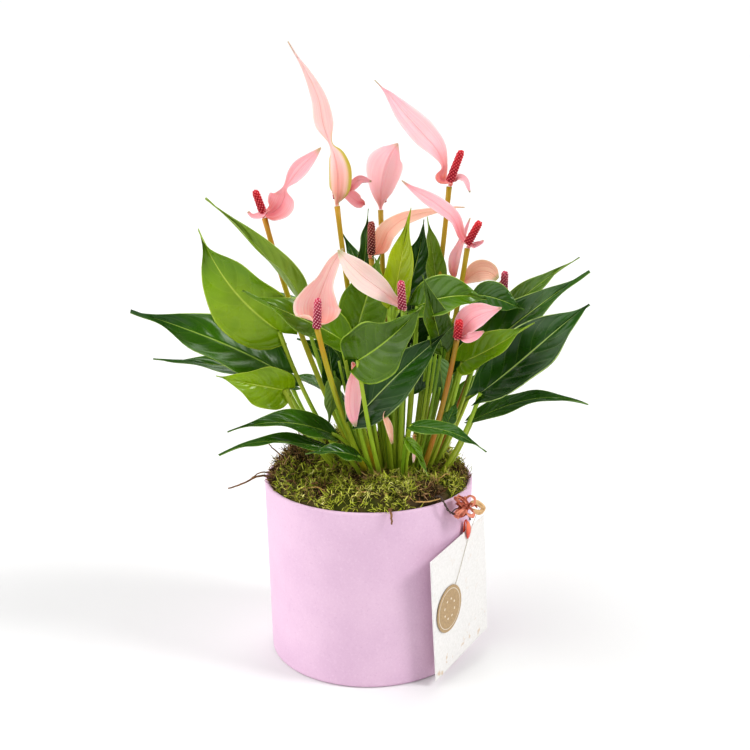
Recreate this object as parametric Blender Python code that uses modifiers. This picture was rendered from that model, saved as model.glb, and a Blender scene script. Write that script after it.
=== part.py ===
"""Potted anthurium: a pink-flowered plant in a lilac pot, with a gift card tied to the rim.

Lengths below are millimetres and angles are degrees; the objects are built in metres, +Z up.
The origin is the middle of the pot's underside, and the plant's front faces -Y.
"""
import math

import bmesh
import bpy
import numpy as np
from mathutils import Matrix, Vector

MM = 0.001
FIT = 0.3                   # gap kept between pieces that touch

# Pot: a slightly tapered cylinder, open at the top
POT_HEIGHT = 123.0
POT_RIM_RADIUS = 70.0
POT_FOOT_RADIUS = 67.0
POT_WALL = 3.0
POT_FLOOR = 4.0
POT_ROUNDING = 2.5          # rounding of the bottom edge
ROUND_SHARE = 0.3           # how far the middle of a rounding stays off its corner
POT_STEPS = 48

# Nursery pot and potting soil inside it
GROW_WALL = 1.2
GROW_CLEARANCE = 1.0        # between the nursery pot and the outer pot, all round
GROW_STEPS = 32
SOIL_DROP = 8.0             # soil surface below the rim of the outer pot

# Moss dressing: a lumpy ring on the soil, open where the stems come up
MOSS_HEIGHT = 19.0
MOSS_INNER_HEIGHT = 6.0
MOSS_LUMP = 2.0             # height of its lumps
MOSS_LUMPS = 5              # lumps round the ring
MOSS_SHARES = (0.0, 0.25, 0.5, 0.75, 1.0)
MOSS_STATIONS = 40
CROWN = (20.0, 3.0)         # middle of the clump of stems
CROWN_LENGTH = 44.0         # half sizes of the opening in the moss
CROWN_DEPTH = 33.0

# Gift card, its seal, and what ties it on
CARD_WIDTH = 72.0
CARD_HEIGHT = 88.0
CARD_THICKNESS = 0.8
CARD_ANGLE = -32.5          # where on the pot's side it hangs
CARD_LEAN = 6.0             # turn in its own plane
CARD_FLOOR_GAP = 4.0        # from the floor to its lowest corner
CARD_STANDOFF = 1.5         # between the rim and the card's back
SEAL_RADIUS = 16.0
SEAL_THICKNESS = 0.4
SEAL_SEGMENTS = 32
SEAL_ACROSS = -16.0         # middle of the seal, from the middle of the card
SEAL_UP = 0.0
THREAD_RADIUS = 0.4
PEG_ACROSS = 11.5           # the peg grips the card's top edge here
PEG_WIDTH = 5.0
PEG_DEPTH = 4.4
PEG_GRIP = 6.0              # how far its jaws reach down over the card
PEG_HEIGHT = 13.0
WIRE_RADIUS = 0.6
BOW_RADIUS = 1.3
# Points round the pot: angle, distance outside the rim, height above the rim
WIRE_ROUTE = ((-54, -1.5, 1.2), (-52, 0, 4), (-49, 2.5, 1), (-44, 3.5, -7), (-37, 3.5, -11), (-30, 3, -13))
BOW_ROUTE = ((-31, 7, -14), (-36, 7, -9), (-42, 7, -2), (-41, 8, 3), (-35, 9, -1), (-29, 10.5, -8),
             (-24, 11.5, -14), (-19, 12, -13), (-20, 13.5, -8), (-26, 14, -6), (-31, 14.5, -9))

# Stems: feet gather in the crown, lean out first and then rise
STEM_RADIUS = 1.6
PETIOLE_RADIUS = 1.5
APEX_DEPTH = 52.0           # the stems' directions meet this far below the soil
STEM_START = 2.0            # a stem leaves the soil upright over this height
STEM_POINTS = 7
PETIOLE_END = 0.97          # share of the way to the blade where the petiole's last ring is
# How a stem grows: share of the apex rule kept at its foot, then the shares of its
# sideways run and of its height that are done at its bend
UPRIGHT = (1.0, 0.62, 0.42)
LOW = (0.85, 0.3, 0.8)

# Leaf blade, from its base (0) to its tip (1): half width and backward sweep as shares
LEAF_OUTLINE = (
    (0.00, 0.42, 1.00),
    (0.06, 0.78, 0.70),
    (0.16, 0.97, 0.32),
    (0.30, 1.00, 0.10),
    (0.45, 0.87, 0.00),
    (0.60, 0.64, 0.00),
    (0.76, 0.34, 0.00),
    (0.89, 0.12, 0.00),
    (1.00, 0.02, 0.00),
)
LEAF_THICKNESS = 1.0
LEAF_LOBE = 0.26            # how far the lobes sweep back, as a share of the width
LEAF_CUP = 14.0             # turn of the margins towards the upper face
SWEEP_BEND = 1.5            # how the backward sweep grows from the midrib to the margin
EDGE_THIN = 0.4             # share of a blade's thickness lost towards its margin
SPATHE_THICKNESS = 0.9
ACROSS = (-1.0, -0.5, 0.0, 0.5, 1.0)

# Leaves: blade base and tip (x, y, height above the soil), width, rise of the midrib above
# the straight line at one and two thirds, its sway to the side, where the blade is widest
# (1 is near the base), the direction that the upper face looks, and how the petiole grows
LEAVES = {
    "leaf_01": {
        "base": (-57, -20, 113), "tip": (-102, -45, 182), "width": 46, "rise": (3, 5), "sway": -8,
        "peak": 0.8, "face": (-0.3, -0.85, 0.45), "habit": UPRIGHT, "colour": "leaf_bright",
    },
    "leaf_02": {
        "base": (-58, -12, 84), "tip": (-150, -25, 127), "width": 42, "rise": (8, 6), "sway": 0, "peak": 0.9,
        "face": (-0.2, -0.6, 0.78), "habit": UPRIGHT, "colour": "leaf_dark",
    },
    "leaf_03": {
        "base": (-52, 6, 70), "tip": (-142, 0, 89), "width": 28, "rise": (8, 4), "sway": 0, "peak": 1.0,
        "face": (0.0, -0.25, 0.97), "habit": UPRIGHT, "colour": "leaf_dark",
    },
    "leaf_04": {
        "base": (-54, -28, 76), "tip": (-94, -50, 91), "width": 28, "rise": (3, 2), "sway": 0, "peak": 1.0,
        "face": (-0.2, -0.8, 0.55), "habit": UPRIGHT, "colour": "leaf_bright",
    },
    "leaf_05": {
        "base": (-24, -27, 46), "tip": (-86, -68, 63), "width": 32, "rise": (9, 9), "sway": 0, "peak": 0.9,
        "face": (0.1, -0.4, 0.92), "habit": LOW, "colour": "leaf_dark",
    },
    "leaf_06": {
        "base": (-24, -42, 40), "tip": (-92, -66, 48), "width": 22, "rise": (8, 10), "sway": 0, "peak": 0.9,
        "face": (0.0, -0.3, 0.95), "habit": LOW, "colour": "leaf_dark",
    },
    "leaf_07": {
        "base": (-43, -6, 128), "tip": (-100, -28, 198), "width": 28, "rise": (5, 3), "sway": 0, "peak": 1.0,
        "face": (0.5, -0.5, 0.7), "habit": UPRIGHT, "colour": "leaf_bright",
    },
    "leaf_08": {
        "base": (-17, -24, 108), "tip": (-77, -46, 144), "width": 32, "rise": (4, -2), "sway": 0, "peak": 1.1,
        "face": (-0.1, -0.6, 0.8), "habit": UPRIGHT, "colour": "leaf_dark",
    },
    "leaf_09": {
        "base": (-5, -60, 97), "tip": (19, -84, 141), "width": 38, "rise": (2, 4), "sway": 0, "peak": 0.9,
        "face": (-0.1, -0.95, 0.3), "habit": UPRIGHT, "colour": "leaf_dark",
    },
    "leaf_10": {
        "base": (-7, -39, 61), "tip": (53, -47, 122), "width": 29, "rise": (-2, 0), "sway": -3, "peak": 0.8,
        "face": (-0.2, -0.95, 0.25), "habit": UPRIGHT, "colour": "leaf_dark",
    },
    "leaf_11": {
        "base": (-7, -11, 113), "tip": (8, 2, 158), "width": 32, "rise": (4, 4), "sway": 0, "peak": 0.8,
        "face": (0.0, -0.9, 0.4), "habit": UPRIGHT, "colour": "leaf_bright",
    },
    "leaf_12": {
        "base": (16, -19, 132), "tip": (27, -8, 190), "width": 22, "rise": (0, 0), "sway": 0, "peak": 1.1,
        "face": (0.0, -0.95, 0.3), "habit": UPRIGHT, "colour": "leaf_bright",
    },
    "leaf_13": {
        "base": (24, 9, 130), "tip": (36, 17, 179), "width": 20, "rise": (0, 0), "sway": 3, "peak": 0.8,
        "face": (0.2, -0.95, 0.2), "habit": UPRIGHT, "colour": "leaf_dark",
    },
    "leaf_14": {
        "base": (31, -25, 130), "tip": (74, -32, 136), "width": 30, "rise": (8, 12), "sway": 0, "peak": 0.7,
        "face": (0.0, -0.75, 0.66), "habit": UPRIGHT, "colour": "leaf_bright",
    },
    "leaf_15": {
        "base": (70, 0, 132), "tip": (100, -15, 125), "width": 22, "rise": (6, 4), "sway": 0, "peak": 0.8,
        "face": (0.2, -0.8, 0.5), "habit": UPRIGHT, "colour": "leaf_dark",
    },
    "leaf_16": {
        "base": (84, 22, 108), "tip": (138, 10, 155), "width": 20, "rise": (4, 4), "sway": 0, "peak": 0.9,
        "face": (-0.2, -0.5, 0.85), "habit": UPRIGHT, "colour": "leaf_bright",
    },
    "leaf_17": {
        "base": (71, 2, 90), "tip": (143, 0, 148), "width": 34, "rise": (3, 4), "sway": 0, "peak": 0.9,
        "face": (-0.4, -0.6, 0.7), "habit": UPRIGHT, "colour": "leaf_dark",
    },
    "leaf_18": {
        "base": (72, -28, 74), "tip": (138, -32, 133), "width": 38, "rise": (-4, 2), "sway": 0, "peak": 0.6,
        "face": (-0.5, -0.75, 0.45), "habit": UPRIGHT, "colour": "leaf_dark",
    },
    "leaf_19": {
        "base": (68, -13, 51), "tip": (141, -30, 69), "width": 20, "rise": (8, 13), "sway": 0, "peak": 0.9,
        "face": (-0.1, -0.3, 0.95), "habit": UPRIGHT, "colour": "leaf_dark",
    },
    "leaf_20": {
        "base": (27, -55, 60), "tip": (72, -75, 50), "width": 13, "rise": (7, 10), "sway": 0, "peak": 0.8,
        "face": (0.0, -0.45, 0.9), "habit": LOW, "colour": "leaf_dark",
    },
    "leaf_21": {
        "base": (64, -30, 96), "tip": (98, -50, 122), "width": 44, "rise": (2, 2), "sway": 0, "peak": 1.1,
        "face": (-0.3, -0.9, 0.3), "habit": UPRIGHT, "colour": "leaf_bright",
    },
    "leaf_22": {
        "base": (-30, 45, 90), "tip": (-85, 95, 118), "width": 36, "rise": (8, 8), "sway": 0, "peak": 1.0,
        "face": (-0.2, 0.3, 0.93), "habit": UPRIGHT, "colour": "leaf_dark",
    },
    "leaf_23": {
        "base": (60, 45, 85), "tip": (95, 100, 102), "width": 36, "rise": (8, 8), "sway": 0, "peak": 1.0,
        "face": (0.2, 0.3, 0.93), "habit": UPRIGHT, "colour": "leaf_dark",
    },
}

# Flowers: top of the stem, rows along the spathe (x, y, height; width; half turn of the
# margins round the spadix), the direction that its hollow side looks, and the spadix's ends
FLOWERS = {
    "flower_1": {
        "top": (-67, 8, 181),
        "spathe": (((-59, 10, 184), 17, 60), ((-51, 10, 191), 21, 70), ((-53, 9, 200), 9, 50),
                   ((-44, 8, 209), 12, 25), ((-35, 8, 219), 9, 15), ((-29, 8, 225), 1, 5)),
        "face": (-0.7, -0.55, 0.45),
        "spadix": ((-67, 4, 185), (-72, 0, 199)),
    },
    "flower_2": {
        "top": (-20, 5, 189),
        "spathe": (((-20, -4, 198), 18, 75), ((-21, -5, 213), 19, 80), ((-24, 0, 227), 8, 50),
                   ((-31, 0, 247), 15, 25), ((-38, -2, 268), 11, 15), ((-48, -5, 291), 1, 5)),
        "face": (0.2, 0.97, 0.1),
        "spadix": ((-20, 6, 194), (-22, 8, 212)),
    },
    "flower_3": {
        "top": (8, 25, 184),
        "spathe": (((9, 18, 191), 18, 55), ((12, 14, 205), 27, 60), ((15, 13, 218), 19, 50),
                   ((17, 15, 228), 1, 10)),
        "face": (0.0, 1.0, 0.1),
        "spadix": ((9, 27, 189), (13, 31, 206)),
    },
    "flower_4": {
        "top": (52, 10, 201),
        "spathe": (((45, 11, 206), 14, 60), ((43, 10, 217), 10, 45), ((38, 6, 231), 14, 30),
                   ((30, 3, 246), 20, 20), ((18, 0, 259), 15, 15), ((7, -5, 266), 1, 5)),
        "face": (0.45, -0.75, 0.45),
        "spadix": ((52, 5, 205), (58, 0, 224)),
    },
    "flower_5": {
        "top": (64, 4, 162),
        "spathe": (((58, 4, 169), 10, 50), ((52, -1, 182), 12, 40), ((42, -4, 194), 12, 25),
                   ((30, -6, 202), 9, 15), ((21, -9, 208), 1, 5)),
        "face": (0.5, -0.6, 0.6),
        "spadix": ((64, 0, 166), (71, -6, 181)),
    },
    "flower_6": {
        "top": (2, 10, 154),
        "spathe": (((9, 13, 163), 16, 60), ((15, 12, 175), 14, 45), ((28, 13, 183), 11, 25),
                   ((43, 17, 186), 8, 15), ((59, 20, 189), 1, 5)),
        "face": (-0.5, -0.7, 0.5),
        "spadix": ((2, 6, 158), (2, 1, 180)),
    },
    "flower_7": {
        "top": (-31, -50, 121),
        "spathe": (((-31, -44, 128), 21, 50), ((-30, -40, 141), 27, 55), ((-27, -42, 154), 16, 45),
                   ((-22, -45, 164), 9, 30), ((-15, -45, 171), 1, 10)),
        "face": (0.0, -1.0, 0.1),
        "spadix": ((-31, -55, 125), (-30, -58, 143)),
    },
    "flower_8": {
        "top": (22, -40, 130),
        "spathe": (((13, -42, 138), 11, 45), ((1, -46, 147), 16, 25), ((-8, -48, 159), 14, 20),
                   ((-17, -50, 168), 2, 5)),
        "face": (-0.1, -0.9, 0.45),
        "spadix": ((21, -46, 134), (20, -49, 151)),
    },
    "flower_9": {
        "top": (55, -42, 112),
        "spathe": (((60, -42, 118), 16, 60), ((66, -46, 127), 18, 45), ((74, -51, 132), 10, 30),
                   ((81, -55, 134), 1, 10)),
        "face": (-0.4, -0.8, 0.5),
        "spadix": ((55, -47, 116), (56, -50, 127)),
    },
}
SPADIX_RADIUS = 2.7
SPADIX_STEPS = 10
SPADIX_PROFILE = ((0.0, 1.0), (0.5, 0.97), (0.75, 0.88), (0.9, 0.6), (1.0, 0.25), (0.8, 0.0), (0.0, 0.0))
SPATHE_NECK = 2.0           # length of the spathe's round neck above the stem
SPATHE_NECK_WIDTH = 4.0
SPATHE_NECK_TURN = 60.0     # half turn of the margins where the neck opens

SOIL_TOP = POT_HEIGHT - SOIL_DROP
GROW_RIM_RADIUS = POT_RIM_RADIUS - POT_WALL - GROW_CLEARANCE - FIT
GROW_FOOT_RADIUS = POT_FOOT_RADIUS - POT_WALL - GROW_CLEARANCE - FIT

# name: (colour, roughness, metallic)
MATERIALS = {
    "pot": ((0.62, 0.40, 0.62), 0.75, 0.0),
    "grow_pot": ((0.02, 0.02, 0.02), 0.6, 0.0),
    "soil": ((0.04, 0.025, 0.015), 0.95, 0.0),
    "moss": ((0.12, 0.16, 0.03), 0.95, 0.0),
    "leaf_bright": ((0.16, 0.36, 0.03), 0.4, 0.0),
    "leaf_dark": ((0.02, 0.12, 0.02), 0.35, 0.0),
    "stem": ((0.30, 0.30, 0.03), 0.5, 0.0),
    "spathe": ((0.85, 0.42, 0.42), 0.45, 0.0),
    "spadix": ((0.45, 0.03, 0.06), 0.6, 0.0),
    "card": ((0.90, 0.89, 0.87), 0.8, 0.0),
    "seal": ((0.42, 0.32, 0.20), 0.6, 0.0),
    "thread": ((0.50, 0.40, 0.25), 0.8, 0.0),
    "raffia": ((0.75, 0.35, 0.28), 0.7, 0.0),
    "peg": ((0.75, 0.15, 0.04), 0.6, 0.0),
    "wire": ((0.06, 0.04, 0.03), 0.6, 0.0),
}


def unit(vector):
    """The vector's direction."""
    vector = np.asarray(vector, float)
    return vector / np.linalg.norm(vector)


def make_material(name):
    """A Principled material from the table."""
    colour, roughness, metallic = MATERIALS[name]
    material = bpy.data.materials.new(name)
    material.use_nodes = True
    shader = material.node_tree.nodes["Principled BSDF"]
    shader.inputs["Base Color"].default_value = (*colour, 1.0)
    shader.inputs["Roughness"].default_value = roughness
    shader.inputs["Metallic"].default_value = metallic
    material.diffuse_color = (*colour, 1.0)
    return material


def place(name, data, material):
    """Add an object with its own material to the collection."""
    piece = bpy.data.objects.new(name, data)
    data.materials.append(material)
    collection.objects.link(piece)
    return piece


def loft(name, rings, material, closed=False):
    """Skin rings of equal length, given in millimetres, into one closed body."""
    bm = bmesh.new()
    loops = [[bm.verts.new(Vector(point) * MM) for point in ring] for ring in rings]
    pairs = list(zip(loops, loops[1:]))
    if closed:
        pairs.append((loops[-1], loops[0]))
    else:
        bm.faces.new(loops[0])
        bm.faces.new(reversed(loops[-1]))
    for lower, upper in pairs:
        count = len(lower)
        for i in range(count):
            j = (i + 1) % count
            bm.faces.new((lower[j], lower[i], upper[i], upper[j]))
    bmesh.ops.recalc_face_normals(bm, faces=bm.faces)
    bmesh.ops.triangulate(bm, faces=bm.faces)
    mesh = bpy.data.meshes.new(name)
    bm.to_mesh(mesh)
    bm.free()
    mesh.shade_smooth()
    return place(name, mesh, material)


def turned(name, profile, steps, material):
    """Turn an (radius, height) profile, in millimetres, about the Z axis."""
    mesh = bpy.data.meshes.new(name)
    points = [(radius * MM, 0.0, height * MM) for radius, height in profile]
    edges = [(i, i + 1) for i in range(len(points) - 1)]
    mesh.from_pydata(points, edges, [])
    piece = place(name, mesh, material)
    screw = piece.modifiers.new("turn", "SCREW")
    screw.steps = steps
    screw.render_steps = steps
    screw.use_merge_vertices = True
    screw.merge_threshold = 0.00001
    screw.use_smooth_shade = True
    return piece


def tube(name, points, radius, material, sides=2):
    """A round wire through points given in millimetres."""
    curve = bpy.data.curves.new(name, "CURVE")
    curve.dimensions = "3D"
    curve.bevel_depth = radius * MM
    curve.bevel_resolution = sides
    curve.use_fill_caps = True
    spline = curve.splines.new("POLY")
    spline.points.add(len(points) - 1)
    for control, point in zip(spline.points, points):
        control.co = (*(Vector(point) * MM), 1.0)
    return place(name, curve, material)


def smooth_path(points, count):
    """Read count points from a smooth curve through the given points."""
    points = np.asarray(points, float)
    ends = np.vstack([2 * points[0] - points[1], points, 2 * points[-1] - points[-2]])
    path = []
    for place_on in np.linspace(0, len(points) - 1, count):
        i = min(int(place_on), len(points) - 2)
        t = place_on - i
        a, b, c, d = ends[i:i + 4]
        path.append(0.5 * (2 * b + (c - a) * t + (2 * a - 5 * b + 4 * c - d) * t ** 2
                           + (3 * b - a - 3 * c + d) * t ** 3))
    return np.array(path)


def bezier(controls, t):
    """A point on the quadratic or cubic curve with these control points."""
    points = [np.asarray(point, float) for point in controls]
    while len(points) > 1:
        points = [a + (b - a) * t for a, b in zip(points, points[1:])]
    return points[0]


def above_soil(point):
    """Turn a height above the soil into a height above the floor."""
    x, y, height = point
    return np.array((x, y, SOIL_TOP + height), float)


def stem_path(top, habit, share=1.0):
    """Points from a foot in the crown up to the given point."""
    foot_share, lean, bend_share = habit
    height = top[2] - SOIL_TOP
    spread = foot_share * APEX_DEPTH / (APEX_DEPTH + height)
    crown = np.array((*CROWN, SOIL_TOP + FIT))
    run = (top - crown) * (1, 1, 0)
    foot = crown + run * spread
    start = foot + (0, 0, STEM_START)
    rise = (top - start) * (0, 0, 1)
    bend = start + run * (1 - spread) * lean + rise * bend_share
    return [foot] + [bezier((start, bend, top), t) for t in np.linspace(0, share, STEM_POINTS)]


def round_ring(centre, along, side, radius):
    """Eight points round a stem, in the same order as a blade's section."""
    side = unit(side - along * np.dot(side, along))
    face = np.cross(side, along)
    ring = []
    for i in range(8):
        angle = math.pi - i * math.pi / 4
        ring.append(centre + side * math.cos(angle) * radius + face * math.sin(angle) * radius)
    return ring


def blade_ring(centre, along, side, half_width, turn, sweep, thickness):
    """Eight points round a thin blade whose margins turn towards its face."""
    side = unit(side - along * np.dot(side, along))
    face = np.cross(side, along)
    turn = max(math.radians(turn), 0.01)
    upper = []
    lower = []
    for u in ACROSS:
        angle = u * turn
        outward = math.sin(angle) / turn * half_width
        inward = (1 - math.cos(angle)) / turn * half_width
        middle = centre + side * outward + face * inward - along * sweep * abs(u) ** SWEEP_BEND
        normal = face * math.cos(angle) - side * math.sin(angle)
        depth = 0.0 if abs(u) == 1 else thickness * (1 - EDGE_THIN * abs(u)) / 2
        upper.append(middle + normal * depth)
        lower.append(middle - normal * depth)
    return upper + lower[-2:0:-1]


def directions(points):
    """The direction of travel at each point of a path."""
    steps = np.gradient(np.asarray(points), axis=0)
    return [unit(step) for step in steps]


def make_leaf(name, base, tip, width, rise, sway, peak, face, habit, colour):
    """One leaf: a petiole from the soil and a heart-shaped blade, grown as one piece."""
    base = above_soil(base)
    tip = above_soil(tip)
    run = tip - base
    side = unit(np.cross(unit(run), unit(face)))
    lift = np.cross(side, unit(run))
    middles = [base + run * share + lift * amount + side * sway
               for share, amount in zip((1 / 3, 2 / 3), rise)]
    stem = stem_path(base, habit, share=PETIOLE_END)
    headings = directions(stem)
    headings[0] = np.array((0.0, 0.0, 1.0))
    rings = [round_ring(point, along, side, PETIOLE_RADIUS) for point, along in zip(stem, headings)]
    spine = [bezier((base, *middles, tip), t ** peak) for t, half, sweep in LEAF_OUTLINE]
    for (t, half, sweep), point, along in zip(LEAF_OUTLINE, spine, directions(spine)):
        rings.append(blade_ring(point, along, side, half * width / 2, LEAF_CUP,
                                sweep * LEAF_LOBE * width, LEAF_THICKNESS))
    loft(name, rings, make_material(colour))


def make_spathe(name, start, along, rows, face, material):
    """A spathe: a round neck on the stem that opens into a cupped, pointed blade."""
    neck = [start + along * FIT, start + along * SPATHE_NECK]
    rows = [(above_soil(point), width, turn) for point, width, turn in rows]
    knots = np.array([neck[1]] + [point for point, width, turn in rows])
    count = 2 * len(rows) + 1
    spine = smooth_path(knots, count)
    places = np.linspace(0, len(rows), count)
    knot_widths = [SPATHE_NECK_WIDTH] + [width for point, width, turn in rows]
    knot_turns = [SPATHE_NECK_TURN] + [turn for point, width, turn in rows]
    widths = np.interp(places, range(len(knots)), knot_widths)
    turns = np.interp(places, range(len(knots)), knot_turns)
    rings = [round_ring(neck[0], along, np.cross(along, unit(face)), STEM_RADIUS)]
    travel = directions([neck[0]] + list(spine))[1:]
    for point, heading, width, turn in zip(spine, travel, widths, turns):
        side = np.cross(heading, unit(face))
        rings.append(blade_ring(point, heading, side, width / 2, turn, 0, SPATHE_THICKNESS))
    loft(name, rings, material)


def make_spadix(name, foot, tip, material):
    """A blunt tapered spike standing in the spathe."""
    foot = above_soil(foot)
    axis = Vector(above_soil(tip) - foot)
    profile = [(share * SPADIX_RADIUS, height * axis.length) for share, height in SPADIX_PROFILE]
    spike = turned(name, profile, SPADIX_STEPS, material)
    spike.rotation_mode = "QUATERNION"
    spike.rotation_quaternion = axis.to_track_quat("Z", "Y")
    spike.location = Vector(foot) * MM


def make_flower(name, top, spathe, face, spadix):
    """One flower: its stem, its spathe and its spadix."""
    top = above_soil(top)
    stem = stem_path(top, UPRIGHT)
    along = unit(stem[-1] - stem[-2])
    tube(name + "_stem", stem, STEM_RADIUS, make_material("stem"))
    make_spathe(name + "_spathe", top, along, spathe, face, make_material("spathe"))
    make_spadix(name + "_spadix", *spadix, make_material("spadix"))


def make_pot():
    """The outer pot: a tapered cylinder with a rounded foot and a floor."""
    inner_foot = POT_FOOT_RADIUS - POT_WALL
    inner_rim = POT_RIM_RADIUS - POT_WALL
    lip = POT_WALL / 4
    profile = [
        (0, POT_FLOOR),
        (inner_foot, POT_FLOOR),
        (inner_rim, POT_HEIGHT - lip),
        (inner_rim + lip, POT_HEIGHT),
        (POT_RIM_RADIUS - lip, POT_HEIGHT),
        (POT_RIM_RADIUS, POT_HEIGHT - lip),
        (POT_FOOT_RADIUS, POT_ROUNDING),
        (POT_FOOT_RADIUS - POT_ROUNDING * ROUND_SHARE, POT_ROUNDING * ROUND_SHARE),
        (POT_FOOT_RADIUS - POT_ROUNDING, 0),
        (0, 0),
    ]
    turned("pot", profile, POT_STEPS, make_material("pot"))


def make_grow_pot():
    """The thin nursery pot that stands inside the outer pot."""
    foot = GROW_FOOT_RADIUS
    rim = GROW_RIM_RADIUS
    floor = POT_FLOOR + FIT
    profile = [
        (0, floor + GROW_WALL),
        (foot - GROW_WALL, floor + GROW_WALL),
        (rim - GROW_WALL, SOIL_TOP),
        (rim, SOIL_TOP),
        (foot, floor),
        (0, floor),
    ]
    turned("grow_pot", profile, GROW_STEPS, make_material("grow_pot"))


def make_soil():
    """The potting soil that fills the nursery pot."""
    gap = GROW_WALL + FIT
    floor = POT_FLOOR + FIT + gap
    profile = [
        (0, SOIL_TOP),
        (GROW_RIM_RADIUS - gap, SOIL_TOP),
        (GROW_FOOT_RADIUS - gap, floor),
        (0, floor),
    ]
    turned("potting_soil", profile, GROW_STEPS, make_material("soil"))


def make_moss():
    """The moss: a lumpy ring from the opening round the stems to the pot's wall."""
    bottom = SOIL_TOP + FIT
    outer = POT_RIM_RADIUS - POT_WALL - FIT - (POT_RIM_RADIUS - POT_FOOT_RADIUS) * SOIL_DROP / POT_HEIGHT
    rings = []
    for station in range(MOSS_STATIONS):
        angle = 2 * math.pi * station / MOSS_STATIONS
        heading = np.array((math.cos(angle), math.sin(angle), 0.0))
        opening = np.array((*CROWN, 0.0)) + heading * (CROWN_LENGTH, CROWN_DEPTH, 0)
        edge = unit(opening) * outer
        ring = [(opening[0], opening[1], bottom)]
        for share in MOSS_SHARES:
            middle = opening + (edge - opening) * share
            ramp = MOSS_INNER_HEIGHT * (1 - share) + (SOIL_DROP + 1) * share
            dome = (MOSS_HEIGHT - (MOSS_INNER_HEIGHT + SOIL_DROP) / 2) * math.sin(math.pi * share)
            lump = MOSS_LUMP * math.sin(MOSS_LUMPS * angle + 3 * share) * math.sin(math.pi * share)
            ring.append((middle[0], middle[1], bottom + ramp + dome + lump))
        ring.append((edge[0], edge[1], bottom))
        rings.append(ring)
    loft("moss", rings, make_material("moss"), closed=True)


def round_pot(point):
    """A point given by its angle round the pot and its distance and height from the rim."""
    angle, outside, height = point
    radius = POT_RIM_RADIUS + outside
    turn = math.radians(angle)
    return np.array((radius * math.cos(turn), radius * math.sin(turn), POT_HEIGHT + height))


def card_frame():
    """The card's frame in millimetres: X across, Y up and Z out of its printed side."""
    angle = math.radians(CARD_ANGLE)
    lean = math.radians(CARD_LEAN)
    outward = Vector((math.cos(angle), math.sin(angle), 0))
    level = Vector((-math.sin(angle), math.cos(angle), 0))
    upright = Vector((0, 0, 1))
    across = level * math.cos(lean) + upright * math.sin(lean)
    up = upright * math.cos(lean) - level * math.sin(lean)
    middle = outward * (POT_RIM_RADIUS + CARD_STANDOFF + CARD_THICKNESS / 2)
    middle.z = CARD_FLOOR_GAP + (CARD_HEIGHT * math.cos(lean) + CARD_WIDTH * math.sin(lean)) / 2
    frame = Matrix((across, up, outward)).transposed().to_4x4()
    frame.translation = middle
    return frame


def in_frame(frame, turn=None):
    """The same frame in metres, with a turn of its own axes where one is given."""
    matrix = frame.copy()
    if turn is not None:
        matrix = matrix @ turn
    matrix.translation *= MM
    return matrix


def make_card():
    """The gift card and the round seal on its front."""
    frame = card_frame()
    bm = bmesh.new()
    bmesh.ops.create_cube(bm, size=MM)
    bmesh.ops.scale(bm, vec=(CARD_WIDTH, CARD_HEIGHT, CARD_THICKNESS), verts=bm.verts)
    mesh = bpy.data.meshes.new("gift_card")
    bm.to_mesh(mesh)
    bm.free()
    card = place("gift_card", mesh, make_material("card"))
    card.matrix_world = in_frame(frame)

    bm = bmesh.new()
    bmesh.ops.create_cone(bm, cap_ends=True, segments=SEAL_SEGMENTS, radius1=SEAL_RADIUS * MM,
                          radius2=SEAL_RADIUS * MM, depth=SEAL_THICKNESS * MM)
    mesh = bpy.data.meshes.new("card_seal")
    bm.to_mesh(mesh)
    bm.free()
    seal = place("card_seal", mesh, make_material("seal"))
    out = (CARD_THICKNESS + SEAL_THICKNESS) / 2 + FIT
    seal.matrix_world = in_frame(frame @ Matrix.Translation((SEAL_ACROSS, SEAL_UP, out)))


def make_card_fastening():
    """The thread on the card, the peg on its top edge, and the wire and bow that hold it."""
    frame = card_frame()
    grip = CARD_HEIGHT / 2 - PEG_GRIP
    slot = CARD_THICKNESS / 2 + FIT
    jaw = PEG_DEPTH / 2
    roof = CARD_HEIGHT / 2 + FIT
    top = grip + PEG_HEIGHT
    outline = [(jaw, grip), (jaw, top), (-jaw, top), (-jaw, grip), (-slot, grip), (-slot, roof),
               (slot, roof), (slot, grip)]
    curve = bpy.data.curves.new("peg", "CURVE")
    curve.dimensions = "2D"
    curve.fill_mode = "BOTH"
    curve.extrude = PEG_WIDTH / 2 * MM
    spline = curve.splines.new("POLY")
    spline.points.add(len(outline) - 1)
    spline.use_cyclic_u = True
    for control, (out, up) in zip(spline.points, outline):
        control.co = (-out * MM, up * MM, 0, 1)
    peg = place("peg", curve, make_material("peg"))
    sideways = Matrix.Rotation(math.radians(90), 4, "Y")
    peg.matrix_world = in_frame(frame @ Matrix.Translation((PEG_ACROSS, 0, 0)), sideways)

    out = CARD_THICKNESS / 2 + FIT + THREAD_RADIUS
    upper = Vector((PEG_ACROSS, grip - FIT, out))
    middle = Vector((SEAL_ACROSS, SEAL_UP, out))
    lower = middle + (upper - middle).normalized() * (SEAL_RADIUS + FIT)
    sag = (upper + lower) / 2 + Vector((2, -1, 0))
    route = [frame @ Vector(bezier((upper, sag, lower), t)) for t in np.linspace(0, 1, 6)]
    tube("card_thread", route, THREAD_RADIUS, make_material("thread"))

    peg_top = frame @ Vector((PEG_ACROSS, top + WIRE_RADIUS + FIT, 0))
    knots = [round_pot(point) for point in WIRE_ROUTE] + [np.array(peg_top)]
    tube("tie_wire", smooth_path(knots, 22), WIRE_RADIUS, make_material("wire"))
    knots = [round_pot(point) for point in BOW_ROUTE]
    tube("ribbon_bow", smooth_path(knots, 31), BOW_RADIUS, make_material("raffia"))


for old in list(bpy.data.objects):
    bpy.data.objects.remove(old)

collection = bpy.data.collections.new("potted_anthurium")
bpy.context.scene.collection.children.link(collection)

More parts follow.
